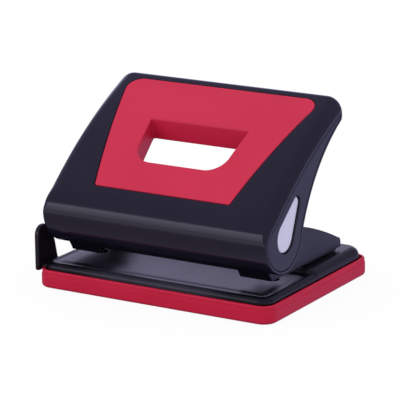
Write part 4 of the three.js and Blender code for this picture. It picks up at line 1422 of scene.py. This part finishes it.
@dataclass
class PressLever:
    """The steel lever under the handle's face and its two screws."""

    slope: float = math.radians(39)
    distance: float = 9.7
    screw_x: float = 37.0
    screw_along: float = 3.4
    head_radius: float = 2.4
    head_height: float = 1.2
    shank_radius: float = 1.0
    grip: float = 3.9
    gap: float = 0.3
    cross: tuple[Flat, Flat] = ((-0.5, 1.35), (0.35, 0.9))
    cross_half: float = 0.22

    def screw(self, side: int, name: str) -> None:
        """Makes one cross-recessed screw, square to the lever."""
        axes = Vector((0, *polar(1, self.slope))), Vector((1, 0, 0))
        normal = axes[1].cross(axes[0])
        seat = Vector(PIVOT) + normal * self.distance + axes[0] * self.screw_along
        seat.x = side * self.screw_x
        gap, top = self.gap, -self.gap - self.head_height
        profile = open_line(
            [
                (0.05, top, 0),
                (1.5, top + 0.1, 0.8),
                (self.head_radius, top + 0.6, 0.2),
                (self.head_radius, -gap, 0.1),
                (self.shank_radius, -gap, 0),
            ]
        )
        tip = self.grip - gap
        profile += [(self.shank_radius, tip - self.shank_radius), (0.05, tip)]
        screw = lathed(f"cross_screw_{name}", profile, seat, normal)
        middle = seat + normal * (top + 0.25)
        corners = ((-1, -1), (1, -1), (1, 1), (-1, 1))
        for wide, thin in (axes, reversed(axes)):
            rings = []
            for depth, reach in self.cross:
                at, out, off = middle + normal * depth, wide * reach, thin * self.cross_half
                rings.append([at + out * a + off * b for a, b in corners])
            cut(screw, drawn("cross", rings))
        dress(screw, "zinc_plate", Body.HANDLE, f"lever_screw_{name}")

    def build(self) -> None:
        """Makes the lever and its screws."""
        lever = softened(refined("press_lever", "lever_pressing"), 0.15)
        dress(lever, "zinc_plate", Body.HANDLE, "press_lever")
        for side, name in SIDES:
            self.screw(side, name)


@dataclass
class PunchUnit:
    """A cutter with its clip and its return spring, on both sides."""

    tip_z: float = 13.3
    top_z: float = 29.6
    radius: float = 2.75
    neck_radius: float = 2.0
    neck: Flat = (27.7, 28.9)
    hollow_radius: float = 5.2
    hollow_depth: float = 0.9
    clip_z: float = 27.9
    clip_thickness: float = 0.8
    clip_radius: float = 4.0
    spring_from: float = 17.7
    spring_to: float = 27.6
    wire: float = 0.8
    coil_radius: float = 3.734
    turns: int = 5
    closeness: float = 0.48
    wire_sides: int = 12
    curl_steps: int = 28
    travel: float = 4.69

    def at(self, side: int, z: float) -> Vector:
        """A place on one cutter's axis."""
        return Vector((side * PINS[0], PINS[1], z))

    def cutter(self, side: int, name: str, body: Body) -> None:
        """Makes one cutter, with its hollow-ground tip."""
        r, neck, hollow = self.radius, self.neck_radius, self.hollow_radius
        profile = open_line(
            [
                (0.05, self.tip_z, 0),
                (r, self.tip_z, 0.04),
                (r, self.neck[0], 0.15),
                (neck, self.neck[0], 0.1),
                (neck, self.neck[1], 0.1),
                (r, self.neck[1], 0.15),
                (r, self.top_z, 0.3),
                (0.05, self.top_z, 0),
            ]
        )
        pin = lathed(f"cutter_{name}", profile, self.at(side, 0), sides=64)
        centre = self.at(side, self.tip_z + self.hollow_depth - hollow)
        rod = [(hollow, -2 * r), (hollow, 2 * r)]
        cut(pin, lathed("hollow", rod, centre, Vector((1, 0, 0)), sides=128))
        dress(pin, "ground_steel", body, f"punch_pin_{name}")

    def clip(self, side: int, name: str, body: Body) -> None:
        """Makes the washer in the cutter's neck."""
        low, high = self.clip_z, self.clip_z + self.clip_thickness
        bore, rim = self.neck_radius + 0.2, self.clip_radius
        corners = [(bore, low, 0.1), (rim, low, 0.2), (rim, high, 0.2), (bore, high, 0.1)]
        profile = closed_outline(corners, 3)
        ring = lathed(f"clip_washer_{name}", profile, self.at(side, 0), closed=True)
        dress(ring, "spring_wire", body, f"pin_clip_{name}")

    def spring(self, side: int, name: str) -> None:
        """Makes the spring, whose end turns lie closer than the rest."""
        steps, half = self.turns * self.curl_steps, self.wire / 2
        length, foot = self.spring_to - self.spring_from, self.at(side, self.spring_from)
        centres, outs = [], []
        for k in range(steps + 1):
            share = k / steps
            even = self.closeness * math.sin(math.tau * share) / math.tau
            outs.append(Vector((*polar(1, math.tau * k / self.curl_steps), 0)))
            rise = Vector((0, 0, lerp(half, length - half, share - even)))
            centres.append(foot + outs[-1] * self.coil_radius + rise)
        angles = [math.tau * j / self.wire_sides for j in range(self.wire_sides)]
        rings: list[Ring] = []
        for k, (centre, out) in enumerate(zip(centres, outs)):
            along = (centres[min(k + 1, steps)] - centres[max(k - 1, 0)]).normalized()
            up = along.cross(out).normalized()
            flats = [polar(half, angle) for angle in angles]
            rings.append([centre + out * a + up * b for a, b in flats])
        coil = drawn(f"coil_spring_{name}", rings)
        dress(coil, "spring_wire", Body.PUNCH, f"return_spring_{name}", 60)
        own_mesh(coil)

    def build(self) -> None:
        """Makes both punch units."""
        for (side, name), body in zip(SIDES, (Body.PIN_LEFT, Body.PIN_RIGHT)):
            self.cutter(side, name, body)
            self.clip(side, name, body)
            self.spring(side, name)


@dataclass(frozen=True)
class SoftBox:
    """A rectangular lamp with an even face.

    Its radiance is what a mirror would show of it.
    """

    name: str
    place: Place
    aim: Place
    width: float
    height: float
    radiance: float
    colour: Colour = (1.0, 0.97, 1.12)

    def build(self) -> None:
        """Hangs the lamp."""
        lamp = bpy.data.lights.new(self.name, "AREA")
        lamp.shape, lamp.size, lamp.size_y = "RECTANGLE", self.width, self.height
        lamp.energy = self.radiance * math.pi * self.width * self.height
        lamp.color = self.colour
        hung = put_in(self.name, lamp)
        hung.location = self.place
        way = Vector(self.aim) - Vector(self.place)
        hung.rotation_euler = way.to_track_quat("-Z", "Y").to_euler()


@dataclass
class NoseLamps:
    """Strips of light whose reflection lies as a band along the handle's nose.

    A strip is given by the slopes of the skin that mirror its two long edges to the camera.
    """

    nose: Flat = (-0.034, 0.041)
    reach: float = 1.1
    middle_x: float = -0.7
    width: float = 1.0
    view: float = 162.3
    strips: tuple[Corner, ...] = (
        (66.0, 70.0, 1.4),
        (70.0, 75.0, 1.1),
        (75.0, 81.0, 0.8),
    )

    def build(self) -> None:
        """Hangs the strips, edge to edge."""
        y, z = self.nose
        for k, (low, high, radiance) in enumerate(self.strips):
            angle = math.radians(180 + low + high - self.view)
            half = math.radians(high - low)
            y_off, z_off = polar(self.reach, angle)
            place = (self.middle_x, y + y_off, z + z_off)
            height, aim = 2 * self.reach * math.tan(half), (self.middle_x, y, z)
            SoftBox(f"nose_strip_{k}", place, aim, self.width, height, radiance).build()


@dataclass
class Studio:
    """Pale floor, soft boxes, sky and the camera at the photograph's angle."""

    azimuth: float = math.radians(31.23)
    elevation: float = math.radians(15.26)
    roll: float = math.radians(-0.563)
    distance: float = 1032.535
    shift: Flat = (-1.4869, 2.3825)
    aim_z: float = 30.848
    lens: float = 230.954
    sky_light: Colour = (1.08, 1.04, 1.15)
    sky_mirrored: Colour = (0.25, 0.23, 0.37)
    paper_seen: Colour = (0.95, 0.95, 0.95)
    paper_lit: Colour = (0.42, 0.39, 0.45)
    # What mirrors show of the floor is painted light: a painted shadow near the punch, brighter
    # far off, and a lilac painted glow to the back right.
    mirrored_shadow_near: Colour = (0.24, 0.21, 0.28)
    mirrored_far: Colour = (0.66, 0.62, 0.7)
    mirrored_back: Colour = (0.45, 0.44, 0.77)
    far: tuple[Place, Flat] = ((0, -1, 0), (0.135, 0.035))
    back: tuple[Place, Flat] = ((1, 1, 0), (0.0, 0.06))
    paper_glow: float = 0.93
    card: SoftBox = SoftBox(
        "rear_card", (-0.66, 1.08, 0.36), (0, 0, 0.01), 1.2, 0.5, 0.47, (1.0, 0.96, 1.4)
    )

    def camera(self) -> None:
        """Sets up the camera."""
        flat, height = polar(1, self.elevation)
        back = Vector((math.sin(self.azimuth) * flat, -math.cos(self.azimuth) * flat, height))
        right = (-back).cross(Vector((0, 0, 1))).normalized()
        up = back.cross(right).normalized()
        c, s = math.cos(self.roll), math.sin(self.roll)
        right, up = right * c + up * s, up * c - right * s
        place = back * self.distance + right * self.shift[0] + up * self.shift[1]
        place = (place + Vector((0, 0, self.aim_z))) * MM
        lens = bpy.data.cameras.new("photo_view")
        lens.lens, lens.sensor_width = self.lens, 36
        lens.clip_start, lens.clip_end = 0.05, 20
        camera = put_in("photo_view", lens)
        turned = Matrix((right, up, back)).transposed().to_4x4()
        camera.matrix_world = Matrix.Translation(place) @ turned
        bpy.context.scene.camera = camera

    def sky(self) -> None:
        """A plain sky: white where it is seen, softer where it lights or is mirrored."""
        world = bpy.data.worlds.new("studio_sky")
        bpy.context.scene.world = world
        shader = Shader(world)
        unseen = shader.tone(shader.ray("Glossy"), self.sky_light, self.sky_mirrored)
        shader.fill("Background", {"Color": shader.tone(shader.ray("Camera"), unseen, (1, 1, 1))})

    def floor(self) -> None:
        """A wide pale floor that keeps the punch's shadow; mirror rays see it glow with painted
        light instead, with a painted shadow near the punch, brighter further off and lilac to the
        back right.
        """
        bpy.ops.object.select_all(action="DESELECT")
        bpy.ops.mesh.primitive_plane_add(size=12, location=(0, 0, -0.0001))
        floor = named("studio_floor")
        shader = Shader(bpy.data.materials.new("paper_floor"))
        seen, lit = shader.ray("Camera"), self.paper_lit
        # Painted light for mirror rays: the floor's glow is darkened near the punch as painted
        # shade and made lilac towards the back right.
        far, back = (shader.along(way).above(*fade) for way, fade in (self.far, self.back))
        mirrored = shader.tone(far, self.mirrored_shadow_near, self.mirrored_far)
        mirrored = shader.tone(back, mirrored, self.mirrored_back)
        inputs = {"Color": shader.tone(seen, lit, self.paper_seen)}
        paper = shader.node("ShaderNodeBsdfDiffuse", inputs=inputs)
        inputs = {"Color": shader.tone(seen, mirrored, (1, 1, 1))}
        glow = shader.node("ShaderNodeEmission", inputs=inputs)
        inputs = {0: seen * self.paper_glow + shader.ray("Glossy"), 1: paper, 2: glow}
        mix = shader.node("ShaderNodeMixShader", inputs=inputs)
        shader.fill("Material Output", {"Surface": mix})
        shader.tree.nodes.remove(shader.tree.nodes["Principled BSDF"])
        floor.data.materials.append(shader.owner)

    def build(self) -> None:
        """Sets the stage."""
        self.floor()
        self.sky()
        self.camera()
        NoseLamps().build()
        self.card.build()
        bpy.context.scene.view_settings.view_transform = "Standard"


def main() -> None:
    """Builds the punch, piece by piece, and the studio round it."""
    logging.basicConfig(level=logging.INFO, format="%(name)s: %(message)s")
    for kind in (ChipTray, BasePressing, Bracket, PaperGuide, Handle, PressLever, PunchUnit):
        kind().build()
    Studio().build()


if __name__ == "__main__":
    main()
